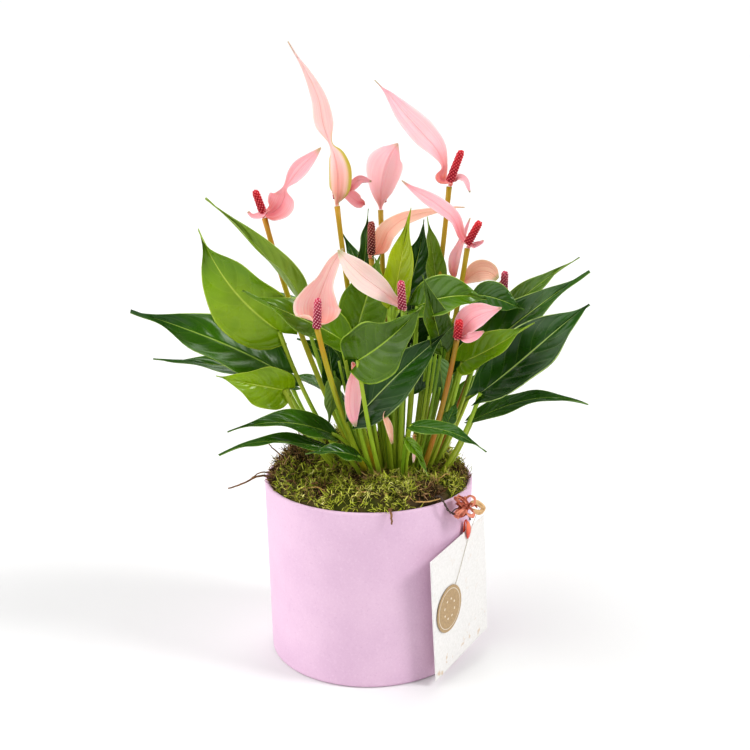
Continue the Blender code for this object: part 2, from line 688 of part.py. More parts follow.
make_pot()
make_grow_pot()
make_soil()
make_moss()
make_card()
make_card_fastening()
for leaf, shape in LEAVES.items():
    make_leaf(leaf, **shape)
for flower, shape in FLOWERS.items():
    make_flower(flower, **shape)
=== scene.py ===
"""Potted anthurium: the looks. Lengths are millimetres unless a line says otherwise; +Z is up."""
import math

import bpy
import numpy as np
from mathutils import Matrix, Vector


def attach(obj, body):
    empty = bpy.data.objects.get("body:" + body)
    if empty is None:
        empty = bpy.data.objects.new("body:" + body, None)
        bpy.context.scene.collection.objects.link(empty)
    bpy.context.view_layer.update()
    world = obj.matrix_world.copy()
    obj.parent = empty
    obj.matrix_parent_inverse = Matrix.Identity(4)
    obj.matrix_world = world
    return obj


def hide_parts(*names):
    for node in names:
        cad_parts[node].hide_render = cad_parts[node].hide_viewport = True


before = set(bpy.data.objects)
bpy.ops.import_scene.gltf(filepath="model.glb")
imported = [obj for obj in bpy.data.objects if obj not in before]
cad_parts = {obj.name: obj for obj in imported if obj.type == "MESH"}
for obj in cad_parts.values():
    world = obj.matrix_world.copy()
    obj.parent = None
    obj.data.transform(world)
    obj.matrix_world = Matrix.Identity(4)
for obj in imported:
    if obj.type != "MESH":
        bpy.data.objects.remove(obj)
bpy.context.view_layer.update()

MM = 0.001
GOLDEN_ANGLE = 2.39996
rng = np.random.default_rng(7)

POT_HEIGHT = 123.0
POT_RIM_RADIUS = 70.0
POT_FOOT_RADIUS = 67.0
POT_WALL = 3.0
FOOT_ROUND = 2.6
SOIL_TOP = 115.0
MOSS_RADIUS = 66.5
MOSS_RIM_HEIGHT = 125.0
OVERHANG_RADIUS = 73.0

CARD_WIDTH = 72.0
CARD_HEIGHT = 88.0
CARD_TURN = -32.5
CARD_LEAN = 6.0
CARD_OUT = 71.9
CARD_LIFT = 4.0
SEAL_SIDE = -16.0
SEAL_RADIUS = 16.0
PEG_SIDE = 11.5
PEG_FOOT = 38.2
PEG_LENGTH = 13.0
KNOT = np.array((62.5, -48.5, 119.0))

CROWN = np.array((20.0, 3.0))
APEX_DEPTH = 52.0
STEM_START = 2.0
UPRIGHT = (1.0, 0.62, 0.42)
LOW = (0.85, 0.3, 0.8)


# ---------------------------------------------------------------- camera and light

def add_camera():
    """The camera: in front of the plant, a little above it, looking down at it."""
    data = bpy.data.cameras.new("camera")
    data.sensor_width = 36
    data.lens = 57.6
    data.clip_start = 0.05
    camera = bpy.data.objects.new("camera", data)
    bpy.context.scene.collection.objects.link(camera)
    camera.location = (0.0043, -0.7661, 0.4032)
    camera.rotation_euler = (math.radians(90 - 15.33), 0, 0)
    bpy.context.scene.camera = camera


def add_soft_sun(name, azimuth, elevation, spread, strength):
    """Soft light from far away. Azimuth 0 is from +X and 90 from +Y; the angles are degrees."""
    data = bpy.data.lights.new(name, "SUN")
    data.angle = math.radians(spread)
    data.energy = strength
    light = bpy.data.objects.new(name, data)
    bpy.context.scene.collection.objects.link(light)
    turn = math.radians(azimuth)
    lift = math.radians(elevation)
    towards = Vector((math.cos(turn) * math.cos(lift), math.sin(turn) * math.cos(lift), math.sin(lift)))
    light.rotation_euler = towards.to_track_quat("Z", "Y").to_euler()


def add_surroundings():
    """A white horizon that is dimmer overhead, as in a studio with lit walls."""
    world = bpy.data.worlds.new("studio")
    bpy.context.scene.world = world
    world.use_nodes = True
    tree = world.node_tree
    background = tree.nodes["Background"]
    place = tree.nodes.new("ShaderNodeTexCoord")
    parts = tree.nodes.new("ShaderNodeSeparateXYZ")
    fade = tree.nodes.new("ShaderNodeMapRange")
    low, high, at_horizon, overhead = 0.05, 0.30, 0.87, 0.27
    for slot, value in enumerate((low, high, at_horizon, overhead), 1):
        fade.inputs[slot].default_value = value
    tree.links.new(place.outputs["Generated"], parts.inputs[0])
    tree.links.new(parts.outputs[2], fade.inputs[0])
    tree.links.new(fade.outputs[0], background.inputs["Strength"])
    background.inputs["Color"].default_value = (1.0, 1.0, 1.0, 1)


def add_studio():
    """A plain pale floor out to the horizon, white surroundings and three soft lights."""
    view = bpy.context.scene.view_settings
    view.view_transform = "Standard"
    view.look = "Medium High Contrast"
    view.exposure = -0.03
    add_surroundings()
    add_soft_sun("left_light", 196, 40, 80, 2.3)
    add_soft_sun("right_light", -16, 40, 20, 1.6)
    add_soft_sun("back_light", 75, 52, 36, 0.8)
    steps = 96
    radii = (200, 500, 1500, 6000, 40000)
    verts = [(0.0, 0.0, 0.0)] + [(*around(j, steps, radius), 0.0) for radius in radii for j in range(steps)]
    faces = [(0, 1 + j, 1 + (j + 1) % steps) for j in range(steps)]
    faces += grid_faces(len(radii), steps, closed=True, start=1, flip=True)
    paper = Shader("floor_paper", 0.75, Specular_IOR_Level=0.2, Emission_Strength=0.06,
                   Emission_Color=(1.0, 0.995, 0.99, 1.0))
    tones = ((0.3, (0.715, 0.713, 0.711)), (0.7, (0.725, 0.723, 0.721)))
    paper.put(paper.out.inputs["Base Color"], paper.ramp(paper.noise(3.0, 2), tones))
    build("studio_floor", verts, faces, [paper.material])


# ---------------------------------------------------------------- materials

class Shader:
    """A Principled material and short ways to add nodes to it."""

    def __init__(self, name, roughness, **sockets):
        self.material = bpy.data.materials.new(name)
        self.material.use_nodes = True
        self.tree = self.material.node_tree
        self.out = self.tree.nodes["Principled BSDF"]
        self.out.inputs["Roughness"].default_value = roughness
        for key, value in sockets.items():
            self.out.inputs[key.replace("_", " ")].default_value = value
        self.object_place = self.add("ShaderNodeTexCoord").outputs["Object"]

    def add(self, kind, inputs=(), **settings):
        node = self.tree.nodes.new(kind)
        for key, value in settings.items():
            setattr(node, key, value)
        for slot, value in dict(inputs).items():
            self.put(node.inputs[slot], value)
        return node

    def put(self, socket, value):
        if isinstance(value, bpy.types.NodeSocket):
            self.tree.links.new(value, socket)
        elif isinstance(value, tuple) and socket.type == "RGBA":
            socket.default_value = (*value, 1.0)
        else:
            socket.default_value = value

    def math(self, kind, a, b=0.0):
        return self.add("ShaderNodeMath", {0: a, 1: b}, operation=kind).outputs[0]

    def times(self, a, b):
        return self.math("MULTIPLY", a, b)

    def plus(self, a, b):
        return self.math("ADD", a, b)

    def apart(self, a, b):
        """How far a is from b."""
        return self.math("ABSOLUTE", self.math("SUBTRACT", a, b))

    def noise(self, scale, detail=2.0, place=None, rough=0.5):
        sockets = {"Vector": place or self.object_place, "Scale": scale, "Detail": detail, "Roughness": rough}
        return self.add("ShaderNodeTexNoise", sockets).outputs[0]

    def span(self, value, low, high, to_low=0.0, to_high=1.0):
        sockets = {0: value, 1: low, 2: high, 3: to_low, 4: to_high}
        return self.add("ShaderNodeMapRange", sockets, interpolation_type="SMOOTHSTEP").outputs[0]

    def mix(self, share, a, b):
        return self.add("ShaderNodeMix", {0: share, 6: a, 7: b}, data_type="RGBA").outputs[2]

    def ramp(self, value, stops):
        node = self.add("ShaderNodeValToRGB", {0: value})
        marks = node.color_ramp.elements
        while len(marks) < len(stops):
            marks.new(0.5)
        for mark, (place, colour) in zip(marks, stops):
            mark.position = place
            mark.color = (*colour, 1.0)
        return node.outputs[0]

    def uv(self):
        place = self.add("ShaderNodeUVMap", uv_map="UVMap").outputs[0]
        parts = self.add("ShaderNodeSeparateXYZ", {0: place})
        return parts.outputs[0], parts.outputs[1]

    def blade(self):
        """Of a two-faced blade: the under face, the place across, away from the midrib and along."""
        u, v = self.uv()
        below = self.math("GREATER_THAN", u, 1.5)
        inner = self.math("SUBTRACT", u, self.times(below, 2.0))
        return below, inner, self.apart(self.times(inner, 2.0), 1.0), v

    def streaks(self, u, v, across, along, detail):
        """Noise drawn out along v."""
        sockets = {0: self.times(u, across), 1: self.times(v, along)}
        return self.noise(1.0, detail, self.add("ShaderNodeCombineXYZ", sockets).outputs[0])

    def surface(self, colour, rough, height, depth, strength=1.0):
        """Set the colour, the roughness unless it is None, and a bump that is depth deep."""
        self.put(self.out.inputs["Base Color"], colour)
        if rough is not None:
            self.put(self.out.inputs["Roughness"], rough)
        bump = self.add("ShaderNodeBump", {"Height": height, "Distance": depth * MM, "Strength": strength})
        self.put(self.out.inputs["Normal"], bump.outputs[0])
        return self.material


def srgb(red, green, blue):
    """A colour given as 0 to 255 screen values, as linear light."""
    return tuple(((value / 255 + 0.055) / 1.055) ** 2.4 for value in (red, green, blue))


def leaf_material(name, dark, light, rib, under):
    """A leaf's two faces: faint swellings between side veins, a thin pale midrib and margin."""
    s = Shader(name, 0.3, Specular_IOR_Level=0.42)
    below, _, across, v = s.blade()
    veins = 7.0
    lean = s.times(s.math("POWER", across, 1.15), 0.30)
    wobble = s.times(s.noise(30.0, 2), 0.09)
    along = s.times(s.plus(s.math("SUBTRACT", v, lean), wobble), veins)
    ripple = s.apart(s.math("FRACT", along), 0.5)
    inside = s.times(s.span(across, 0.80, 0.88, 1.0, 0.0), s.span(v, 0.75, 0.95, 1.0, 0.0))
    side_vein = s.times(s.span(ripple, 0.0, 0.045, 1.0, 0.0), inside)
    ring_vein = s.span(s.apart(across, 0.86), 0.0, 0.02, 1.0, 0.0)
    mottle = s.noise(90.0, 4)
    fine = s.noise(600.0, 3)
    margin = s.times(s.span(across, 0.945, 0.975), s.span(mottle, 0.3, 0.65, 0.25, 0.9))
    ground = s.mix(s.span(s.noise(17.0, 3), 0.36, 0.64), dark, light)
    ground = s.mix(s.span(mottle, 0.35, 0.7, 0.0, 0.35), ground, dark)
    ground = s.mix(s.times(fine, 0.16), ground, light)
    ground = s.mix(s.times(s.math("MAXIMUM", side_vein, ring_vein), 0.10), ground, rib)
    back = s.mix(s.span(mottle, 0.3, 0.7, 0.0, 0.5), under, light)
    back = s.mix(s.times(side_vein, 0.35), back, rib)
    face = s.mix(margin, s.mix(below, ground, back), rib)
    face = s.mix(s.span(across, 0.012, 0.04, 0.8, 0.0), face, rib)
    rough = s.plus(s.span(mottle, 0.3, 0.7, 0.24, 0.34), s.times(below, 0.2))
    swell = s.plus(s.times(s.span(ripple, 0.0, 0.4), inside), s.span(across, 0.0, 0.10, 0.0, 1.2))
    swell = s.plus(swell, s.plus(s.times(mottle, 0.8), s.times(fine, 0.05)))
    return s.surface(face, rough, swell, 0.34, 0.8)


def stalk_material(name, low, high, tint):
    """A stalk: its own colour at its foot, lengthwise streaks and a coloured tint in patches."""
    s = Shader(name, 0.42)
    height = s.add("ShaderNodeSeparateXYZ", {0: s.object_place}).outputs[2]
    streak = s.streaks(*s.uv(), 14.0, 3.0, 3.0)
    ground = s.mix(s.span(height, 0.12, 0.30), low, high)
    ground = s.mix(s.span(s.noise(16.0, 2), 0.45, 0.65, 0.0, 0.75), ground, tint)
    ground = s.mix(s.span(streak, 0.35, 0.75, 0.0, 0.35), ground, low)
    return s.surface(ground, s.span(streak, 0.2, 0.8, 0.36, 0.55), streak, 0.25)


def spathe_material(name, foot, middle, tip, edge, back, rim=None):
    """A spathe: colour that changes from foot to tip, pale margins and lengthwise veins.

    rim is a second margin colour that shows only round the cup. A little light shows through, and a faint
    glow in the spathe's own colour is painted light.
    """
    # Subsurface lets a little light through; the faint emission is painted light, a glow though the spathe is
    # no lamp.
    s = Shader(name, 0.42, Subsurface_Weight=0.2, Subsurface_Scale=0.003, Emission_Strength=0.05)
    below, inner, across, v = s.blade()
    end = srgb(150, 160, 90)
    ground = s.ramp(v, ((0.0, foot), (0.09, foot), (0.30, middle), (0.6, middle), (0.9, tip), (0.97, end)))
    lines = s.streaks(inner, v, 26.0, 2.2, 2.0)
    rib = s.span(across, 0.015, 0.07, 0.45, 0.0)
    throat = s.times(s.span(v, 0.08, 0.45, 0.7, 0.0), s.span(across, 0.1, 0.6, 1.0, 0.0))
    layers = [
        (s.span(lines, 0.4, 0.62, 0.0, 0.45), edge),
        (s.span(s.noise(45.0, 3), 0.35, 0.7, 0.0, 0.3), middle),
        (s.span(s.noise(28.0, 2), 0.5, 0.75, 0.0, 0.35), back),
        (s.times(below, 0.3), edge),
        (rib, back),
        (s.span(across, 0.8, 0.98, 0.0, 0.7), edge),
        (throat, back),
    ]
    if rim:
        layers.append((s.times(s.span(across, 0.45, 0.8), s.span(v, 0.36, 0.5, 1.0, 0.0)), rim))
    for share, colour in layers:
        ground = s.mix(share, ground, colour)
    # painted light: the emission takes the spathe's own colour, so the spathe glows faintly
    s.put(s.out.inputs["Emission Color"], ground)
    rough = s.span(lines, 0.2, 0.8, 0.34, 0.52)
    return s.surface(ground, rough, s.plus(lines, s.times(rib, -1.6)), 0.4, 0.8)


def spadix_material(name, low, high, dot):
    """A spadix: beads that are darker in between and pale at their tips."""
    s = Shader(name, 0.5)
    u, v = s.uv()
    ground = s.mix(s.span(v, 0.0, 1.0), low, high)
    ground = s.mix(s.span(s.noise(300.0, 2), 0.35, 0.65, 0.0, 0.5), ground, low)
    return s.surface(s.mix(s.span(u, 0.45, 0.95, 0.0, 0.8), ground, dot), None, s.noise(900.0, 2), 0.1)


def raffia_material(name, low, high):
    """Raffia: a dull strip with lengthwise streaks."""
    s = Shader(name, 0.6)
    streak = s.streaks(*s.uv(), 12.0, 6.0, 4.0)
    ground = s.mix(s.span(streak, 0.3, 0.7), low, high)
    return s.surface(ground, s.span(streak, 0.3, 0.7, 0.5, 0.75), streak, 0.2)


def moss_material(name, stops, painted_shade):
    """Moss: each frond has its own green or brown, and painted shade darkens it towards its foot."""
    s = Shader(name, 0.8, Specular_IOR_Level=0.25)
    u, v = s.uv()
    own = s.plus(u, s.times(s.math("SUBTRACT", s.noise(38.0, 3), 0.5), 0.44))
    # painted shade: up to the lower part of each frond the colour is mixed towards a dark colour
    ground = s.mix(s.span(v, 0.0, 0.45, 0.9, 0.0), s.ramp(own, stops), painted_shade)
    return s.surface(ground, None, s.noise(900.0, 3), 0.2)


def grain_material(name, low, high, scale, roughness, depth):
    """A matt surface with a fine grain between two colours."""
    s = Shader(name, roughness)
    grain = s.noise(scale, 4.0, rough=0.6)
    share = s.plus(s.span(grain, 0.35, 0.65, 0.0, 0.7), s.times(s.noise(scale / 30, 2), 0.3))
    rough = s.span(grain, 0.3, 0.7, roughness - 0.06, roughness + 0.08)
    return s.surface(s.mix(share, low, high), rough, grain, depth)


LOOKS = {}
for maker, rows in (
    (leaf_material, (
        ("dark", "leaf_dark_green", (28, 72, 0), (62, 108, 6), (172, 200, 90), (96, 130, 66)),
        ("deep", "leaf_deep_green", (16, 54, 2), (40, 86, 8), (184, 208, 120), (84, 120, 66)),
        ("olive_leaf", "leaf_olive_green", (48, 80, 0), (80, 112, 2), (160, 190, 60), (110, 136, 60)),
        ("mid", "leaf_mid_green", (70, 108, 0), (106, 142, 4), (180, 204, 84), (136, 164, 74)),
        ("bright", "leaf_light_green", (98, 138, 0), (140, 172, 4), (194, 212, 84), (150, 176, 60)),
        ("pale_leaf", "leaf_pale_green", (112, 142, 30), (146, 170, 66), (190, 206, 120), (150, 174, 90)),
        ("young", "leaf_young_green", (138, 158, 0), (164, 180, 6), (194, 202, 60), (160, 176, 40)),
    )),
    (stalk_material, (
        ("petiole", "petiole_green", (160, 188, 52), (130, 168, 34), (166, 174, 50)),
        ("petiole_dark", "petiole_dark_green", (122, 160, 32), (86, 132, 18), (138, 160, 42)),
        ("olive", "stalk_olive", (150, 176, 40), (184, 144, 16), (206, 128, 24)),
        ("red_stalk", "stalk_red_brown", (146, 146, 44), (180, 116, 34), (188, 90, 34)),
    )),
    (spathe_material, (
        ("pale", "spathe_pale", (242, 150, 118), (247, 186, 182), (246, 186, 182), (250, 222, 206),
         (230, 128, 124)),
        ("blush", "spathe_blush", (236, 146, 144), (240, 204, 198), (241, 208, 200), (248, 224, 210),
         (236, 172, 164)),
        ("pink", "spathe_pink", (236, 128, 88), (247, 180, 186), (247, 168, 182), (251, 208, 210),
         (240, 154, 160)),
        ("rose", "spathe_rose", (232, 130, 122), (246, 166, 174), (246, 164, 174), (252, 200, 202),
         (232, 130, 142)),
        ("peach", "spathe_peach", (230, 138, 108), (240, 184, 162), (240, 178, 154), (250, 212, 186),
         (236, 150, 124)),
        ("green_cup", "spathe_green_cup", (190, 140, 30), (246, 182, 180), (248, 200, 202), (250, 216, 210),
         (236, 146, 138), (180, 168, 50)),
    )),
    (spadix_material, (
        ("crimson", "spadix_crimson", (168, 10, 44), (220, 34, 48), (244, 120, 120)),
        ("maroon", "spadix_maroon", (160, 30, 70), (214, 74, 104), (252, 206, 206)),
        ("brown_spike", "spadix_brown", (112, 30, 36), (166, 60, 54), (236, 180, 160)),
    )),
    (raffia_material, (
        ("salmon", "raffia_salmon", (206, 104, 78), (238, 164, 138)),
        ("rust", "raffia_rust", (150, 62, 48), (206, 112, 84)),
        ("straw", "raffia_straw", (206, 160, 104), (240, 206, 160)),
    )),
):
    for key, name, *colours in rows:
        LOOKS[key] = maker(name, *(srgb(*colour) for colour in colours))


# ---------------------------------------------------------------- geometry

def build(name, verts, faces, materials, uvs=None, kinds=None):
    """A smooth mesh object from points in millimetres; uvs has one pair for each point."""
    mesh = bpy.data.meshes.new(name)
    mesh.from_pydata([tuple(point) for point in np.asarray(verts, float) * MM], [], faces)
    if uvs is not None:
        layer = mesh.uv_layers.new(name="UVMap")
        corners = np.zeros(len(mesh.loops), int)
        mesh.loops.foreach_get("vertex_index", corners)
        layer.data.foreach_set("uv", np.asarray(uvs, float)[corners].ravel())
    for one in materials:
        mesh.materials.append(one)
    if kinds is not None:
        mesh.polygons.foreach_set("material_index", kinds)
    mesh.polygons.foreach_set("use_smooth", [True] * len(mesh.polygons))
    mesh.update()
    piece = bpy.data.objects.new(name, mesh)
    bpy.context.scene.collection.objects.link(piece)
    return piece


class Parts:
    """Points, faces and texture places gathered from several shapes into one piece."""

    def __init__(self):
        self.verts, self.faces, self.uvs, self.kinds = [], [], [], []
        self.count = 0

    def take(self, verts, faces, uvs, kind=0):
        """Add a shape; kind is the number of its material in the finished piece."""
        self.verts.append(np.asarray(verts, float))
        self.uvs.append(np.asarray(uvs, float))
        self.faces += [tuple(int(i) + self.count for i in face) for face in faces]
        self.kinds += [kind] * len(faces)
        self.count += len(verts)

    def finish(self, name, materials, node=None):
        """Build the piece. Every piece rides on the one body; it may stand for a CAD node."""
        piece = build(name, np.vstack(self.verts), self.faces, materials, np.vstack(self.uvs), self.kinds)
        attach(piece, "root")
        if node:
            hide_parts(node)


def unit(vector):
    vector = np.asarray(vector, float)
    return vector / np.linalg.norm(vector)


def around(j, steps, radius=1.0):
    """The j-th of steps places round a circle."""
    angle = 2 * math.pi * j / steps
    return radius * math.cos(angle), radius * math.sin(angle)


def bell(x, y, size):
    return math.exp(-(x * x + y * y) / (2 * size * size))


def smooth_values(knots, values, places):
    """A smooth curve through values at the knots, read at the given places."""
    values = np.asarray(values, float)
    flat = values.ndim == 1
    if flat:
        values = values[:, None]
    ends = np.vstack([2 * values[0] - values[1], values, 2 * values[-1] - values[-2]])
    index = np.interp(places, knots, np.arange(len(knots)))
    low = np.minimum(index.astype(int), len(knots) - 2)
    t = (index - low)[:, None]
    a, b, c, d = ends[low], ends[low + 1], ends[low + 2], ends[low + 3]
    read = 0.5 * (2 * b + (c - a) * t + (2 * a - 5 * b + 4 * c - d) * t ** 2
                  + (3 * b - a - 3 * c + d) * t ** 3)
    return read[:, 0] if flat else read


def curve(points, count):
    """A smooth path of count places through a few points or values."""
    last = len(points) - 1
    return smooth_values(np.arange(last + 1), points, np.linspace(0, last, count))


def bezier(controls, t):
    points = [np.asarray(point, float) for point in controls]
    t = np.asarray(t, float)[..., None]
    while len(points) > 1:
        points = [a + (b - a) * t for a, b in zip(points, points[1:])]
    return points[0]


def travel(points):
    steps = np.gradient(np.asarray(points), axis=0)
    return steps / np.linalg.norm(steps, axis=1)[:, None]


def frames(heading, start):
    """Two directions square to each heading, carried along without turning."""
    side = np.cross(heading[0], start)
    for one in heading:
        side = unit(side - one * np.dot(side, one))
        yield side, np.cross(one, side)


def grid_faces(rows, columns, closed=False, start=0, flip=False):
    """Quads of a grid of points, row by row; closed joins its last column to its first."""
    faces = []
    for i in range(rows - 1):
        for j in range(columns if closed else columns - 1):
            a = start + i * columns
            k = (j + 1) % columns
            face = (a + j, a + k, a + columns + k, a + columns + j)
            faces.append(face[::-1] if flip else face)
    return faces


def tube(parts, path, radius, sides=10, kind=0, squash=1.0):
    """A round stalk along a path, closed at both ends."""
    path = np.asarray(path, float)
    count = len(path)
    radius = np.broadcast_to(np.asarray(radius, float), (count,))
    verts = []
    uvs = []
    for i, (side, other) in enumerate(frames(travel(path), (0.31, 0.94, 0.12))):
        for j in range(sides):
            x, y = around(j, sides)
            verts.append(path[i] + (side * x + other * y * squash) * radius[i])
            uvs.append((j / sides, i / (count - 1)))
    faces = grid_faces(count, sides, closed=True)
    for i in (0, count - 1):
        middle = len(verts)
        verts.append(path[i])
        uvs.append((0.5, min(1.0, i)))
        for j in range(sides):
            a = i * sides + j
            b = i * sides + (j + 1) % sides
            faces.append((a, b, middle) if i else (b, a, middle))
    parts.take(verts, faces, uvs, kind)


ACROSS = np.array((-1, -0.93, -0.78, -0.6, -0.4, -0.22, -0.08, 0, 0.08, 0.22, 0.4, 0.6, 0.78, 0.93, 1.0))


def blade_point(u, middle, heading, side, half, fold, cup):
    """A place u across a blade, and the blade's normal there, for the half of it that u is on."""
    a = abs(u)
    sign = -1 if u < 0 else 1
    n = np.cross(side, heading)
    cup = cup if abs(cup) > 0.01 else 0.01
    out = half * (math.sin(fold + cup * a) - math.sin(fold)) / cup
    rise = half * (math.cos(fold) - math.cos(fold + cup * a)) / cup
    angle = (fold + cup * a) * sign
    return middle + side * out * sign + n * rise, n * math.cos(angle) - side * math.sin(angle)


def sheet(parts, middle, heading, side, half, fold, cup, sweep, wave, thickness, rib, swell=0.0, phase=0.0):
    """A thin two-faced blade. Each argument from middle to rib has one row for each station.

    half, fold, cup and wave have a value for each half of the blade: its width, how far it
    turns up at the middle, how much more it turns up to its margin, and how far its margin
    waves. swell is how far the whole face rises and falls.
    """
    count = len(middle)
    width = len(ACROSS)
    upper = np.zeros((count, width, 3))
    lower = np.zeros((count, width, 3))
    for i in range(count):
        s = unit(side[i] - heading[i] * np.dot(side[i], heading[i]))
        for j, u in enumerate(ACROSS):
            a = abs(u)
            h = int(u >= 0)
            point, normal = blade_point(u, middle[i], heading[i], s, half[i][h], fold[i][h], cup[i][h])
            roll = math.sin(5.4 * i / count + 2.2 * u + phase)
            roll += 0.5 * math.sin(9.7 * i / count - 3.1 * u + 1.7 * phase)
            point = point - heading[i] * sweep[i] * a ** 1.6
            point = point + normal * (wave[i][h] * a ** 2.2 + swell * roll * min(1, a * 3))
            depth = thickness * (1 - 0.55 * a) / 2
            upper[i, j] = point + normal * depth
            lower[i, j] = point - normal * (depth + rib[i] * math.exp(-(u / 0.07) ** 2))
    total = count * width
    along = np.concatenate([[0], np.cumsum(np.linalg.norm(np.diff(middle, axis=0), axis=1))])
    uvs = [((u + 1) / 2 + face, v) for face in (0, 2) for v in along / along[-1] for u in ACROSS]
    faces = grid_faces(count, width) + grid_faces(count, width, start=total, flip=True)
    faces += edge_faces(count, width)
    parts.take(np.vstack([upper.reshape(-1, 3), lower.reshape(-1, 3)]), faces, uvs)


def edge_faces(rows, columns):
    """Quads round the edge of two grids of points that lie one after the other."""
    total = rows * columns
    ring = ([j for j in range(columns)] + [i * columns + columns - 1 for i in range(1, rows)]
            + [total - 1 - j for j in range(1, columns)] + [i * columns for i in range(rows - 2, 0, -1)])
    return [(b, a, total + a, total + b) for a, b in zip(ring, ring[1:] + ring[:1])]


def stem_path(top, habit=UPRIGHT, count=16, share=1.0):
    """Points from a foot in the crown up to the given point."""
    foot_share, lean, bend_share = habit
    spread = foot_share * APEX_DEPTH / (APEX_DEPTH + top[2] - SOIL_TOP)
    crown = np.array((*CROWN, SOIL_TOP + 0.3))
    run = (top - crown) * (1, 1, 0)
    foot = crown + run * spread
    start = foot + (0, 0, STEM_START)
    rise = (top - start) * (0, 0, 1)
    bend = start + run * (1 - spread) * lean + rise * bend_share
    return np.vstack([[foot], bezier((start, bend, top), np.linspace(0, share, count))])


LEAF_KNOTS = (0.0, 0.025, 0.07, 0.15, 0.27, 0.40, 0.54, 0.68, 0.80, 0.90, 0.96, 1.0)
LEAF_SHARES = (0.20, 0.56, 0.83, 0.98, 1.0, 0.89, 0.68, 0.40, 0.17, 0.058, 0.028, 0.01)
STATIONS = np.concatenate([[0, 0.012, 0.03, 0.06, 0.1], np.linspace(0.15, 0.9, 19), [0.935, 0.965, 1.0]])


def make_leaf(name, base, tip, width, face, rise=(4, 4), sway=0, peak=0.9, habit=UPRIGHT, look="dark",
              fold=(8, 8), cup=(14, 14), wave=1.2, lobe=0.26, node=None, stalk="petiole", phase=0.0,
              radius=1.4):
    """A leaf: its petiole and a heart-shaped blade with a drawn-out tip. fold and cup are degrees."""
    base = np.array(base, float)
    tip = np.array(tip, float)
    run = tip - base
    side = unit(np.cross(unit(run), unit(face)))
    lift = np.cross(side, unit(run))
    bends = zip((1 / 3, 2 / 3), rise)
    middles = [base + run * share + lift * amount + side * sway for share, amount in bends]
    spine = bezier((base, *middles, tip), STATIONS ** peak)
    half = smooth_values(LEAF_KNOTS, LEAF_SHARES, STATIONS) * width / 2
    ease = np.minimum(1, STATIONS / 0.2) * 0.5 + 0.5
    sweep = lobe * width * np.maximum(0, 1 - STATIONS / 0.36) ** 2
    swing = 2 * math.pi * STATIONS
    window = np.sin(math.pi * np.minimum(1, STATIONS * 1.05)) ** 0.7
    waves = wave * np.stack([np.sin(swing * 2.3 + phase), np.sin(swing * 1.9 + phase + 2.1)], axis=1)
    count = len(spine)
    parts = Parts()
    sheet(parts, spine, travel(spine), [side] * count, np.stack([half, half], axis=1),
          np.radians(np.outer(ease, fold)), np.radians([cup] * count), sweep, waves * window[:, None],
          0.5, 0.75 * (1 - STATIONS) + 0.1, swell=0.036 * width, phase=phase)
    path = stem_path(base, habit)
    reach = np.linspace(0, 1, len(path))
    thick = radius * (1.12 - 0.2 * reach + 0.28 * np.exp(-((reach - 0.97) / 0.045) ** 2)
                      + 0.25 * np.exp(-(reach / 0.05) ** 2))
    tube(parts, path, thick, kind=1)
    parts.finish(name, [LOOKS[look], LOOKS[stalk]], node)


def make_petiole(name, top, radius, tip_radius, stalk, habit=UPRIGHT):
    """A bare stalk with no leaf of its own, rising into the leaves."""
    parts = Parts()
    path = stem_path(np.array(top, float), habit)
    reach = np.linspace(0, 1, len(path))
    tube(parts, path, radius * (1 - reach) + tip_radius * reach, sides=8)
    parts.finish(name, [LOOKS[stalk]])


def make_spathe(name, start, along, rows, face, look, node=None, flare=6, wave=0.8, phase=0.0, fold=0,
                neck=(3.2, 4.6)):
    """A spathe through rows of x, y, z, width and half turn: a cup round the spadix, then a blade."""
    along = unit(along)
    rows = np.array(rows, float)
    points = [start + along * 0.4, start + along * 2.4, *rows[:, :3]]
    count = 7 * (len(points) - 1) + 1
    spine = curve(points, count)
    half = np.maximum(curve([*neck, *rows[:, 3]], count), 0.35) / 2
    turn = np.radians(np.maximum(curve([95, 80, *rows[:, 4]], count), 2))
    heading = travel(spine)
    share = np.linspace(0, 1, count)
    window = np.sin(math.pi * np.clip(share * 1.1 - 0.1, 0, 1))
    flares = np.radians(flare) * window
    crease = np.radians(fold) * window
    cups = turn - flares * 0.5
    waves = wave * np.stack([np.sin(9 * share + phase), np.sin(7.5 * share + phase + 2)], axis=1)
    waves = waves * window[:, None] - (flares * half * 0.25)[:, None]
    halves, folds, cups = (np.stack([one, one], axis=1) for one in (half, crease, cups))
    parts = Parts()
    sheet(parts, spine, heading, [np.cross(one, unit(face)) for one in heading], halves, folds, cups,
          0 * share, waves, 0.55, 0.35 * (1 - share))
    parts.finish(name, [LOOKS[look]], node)


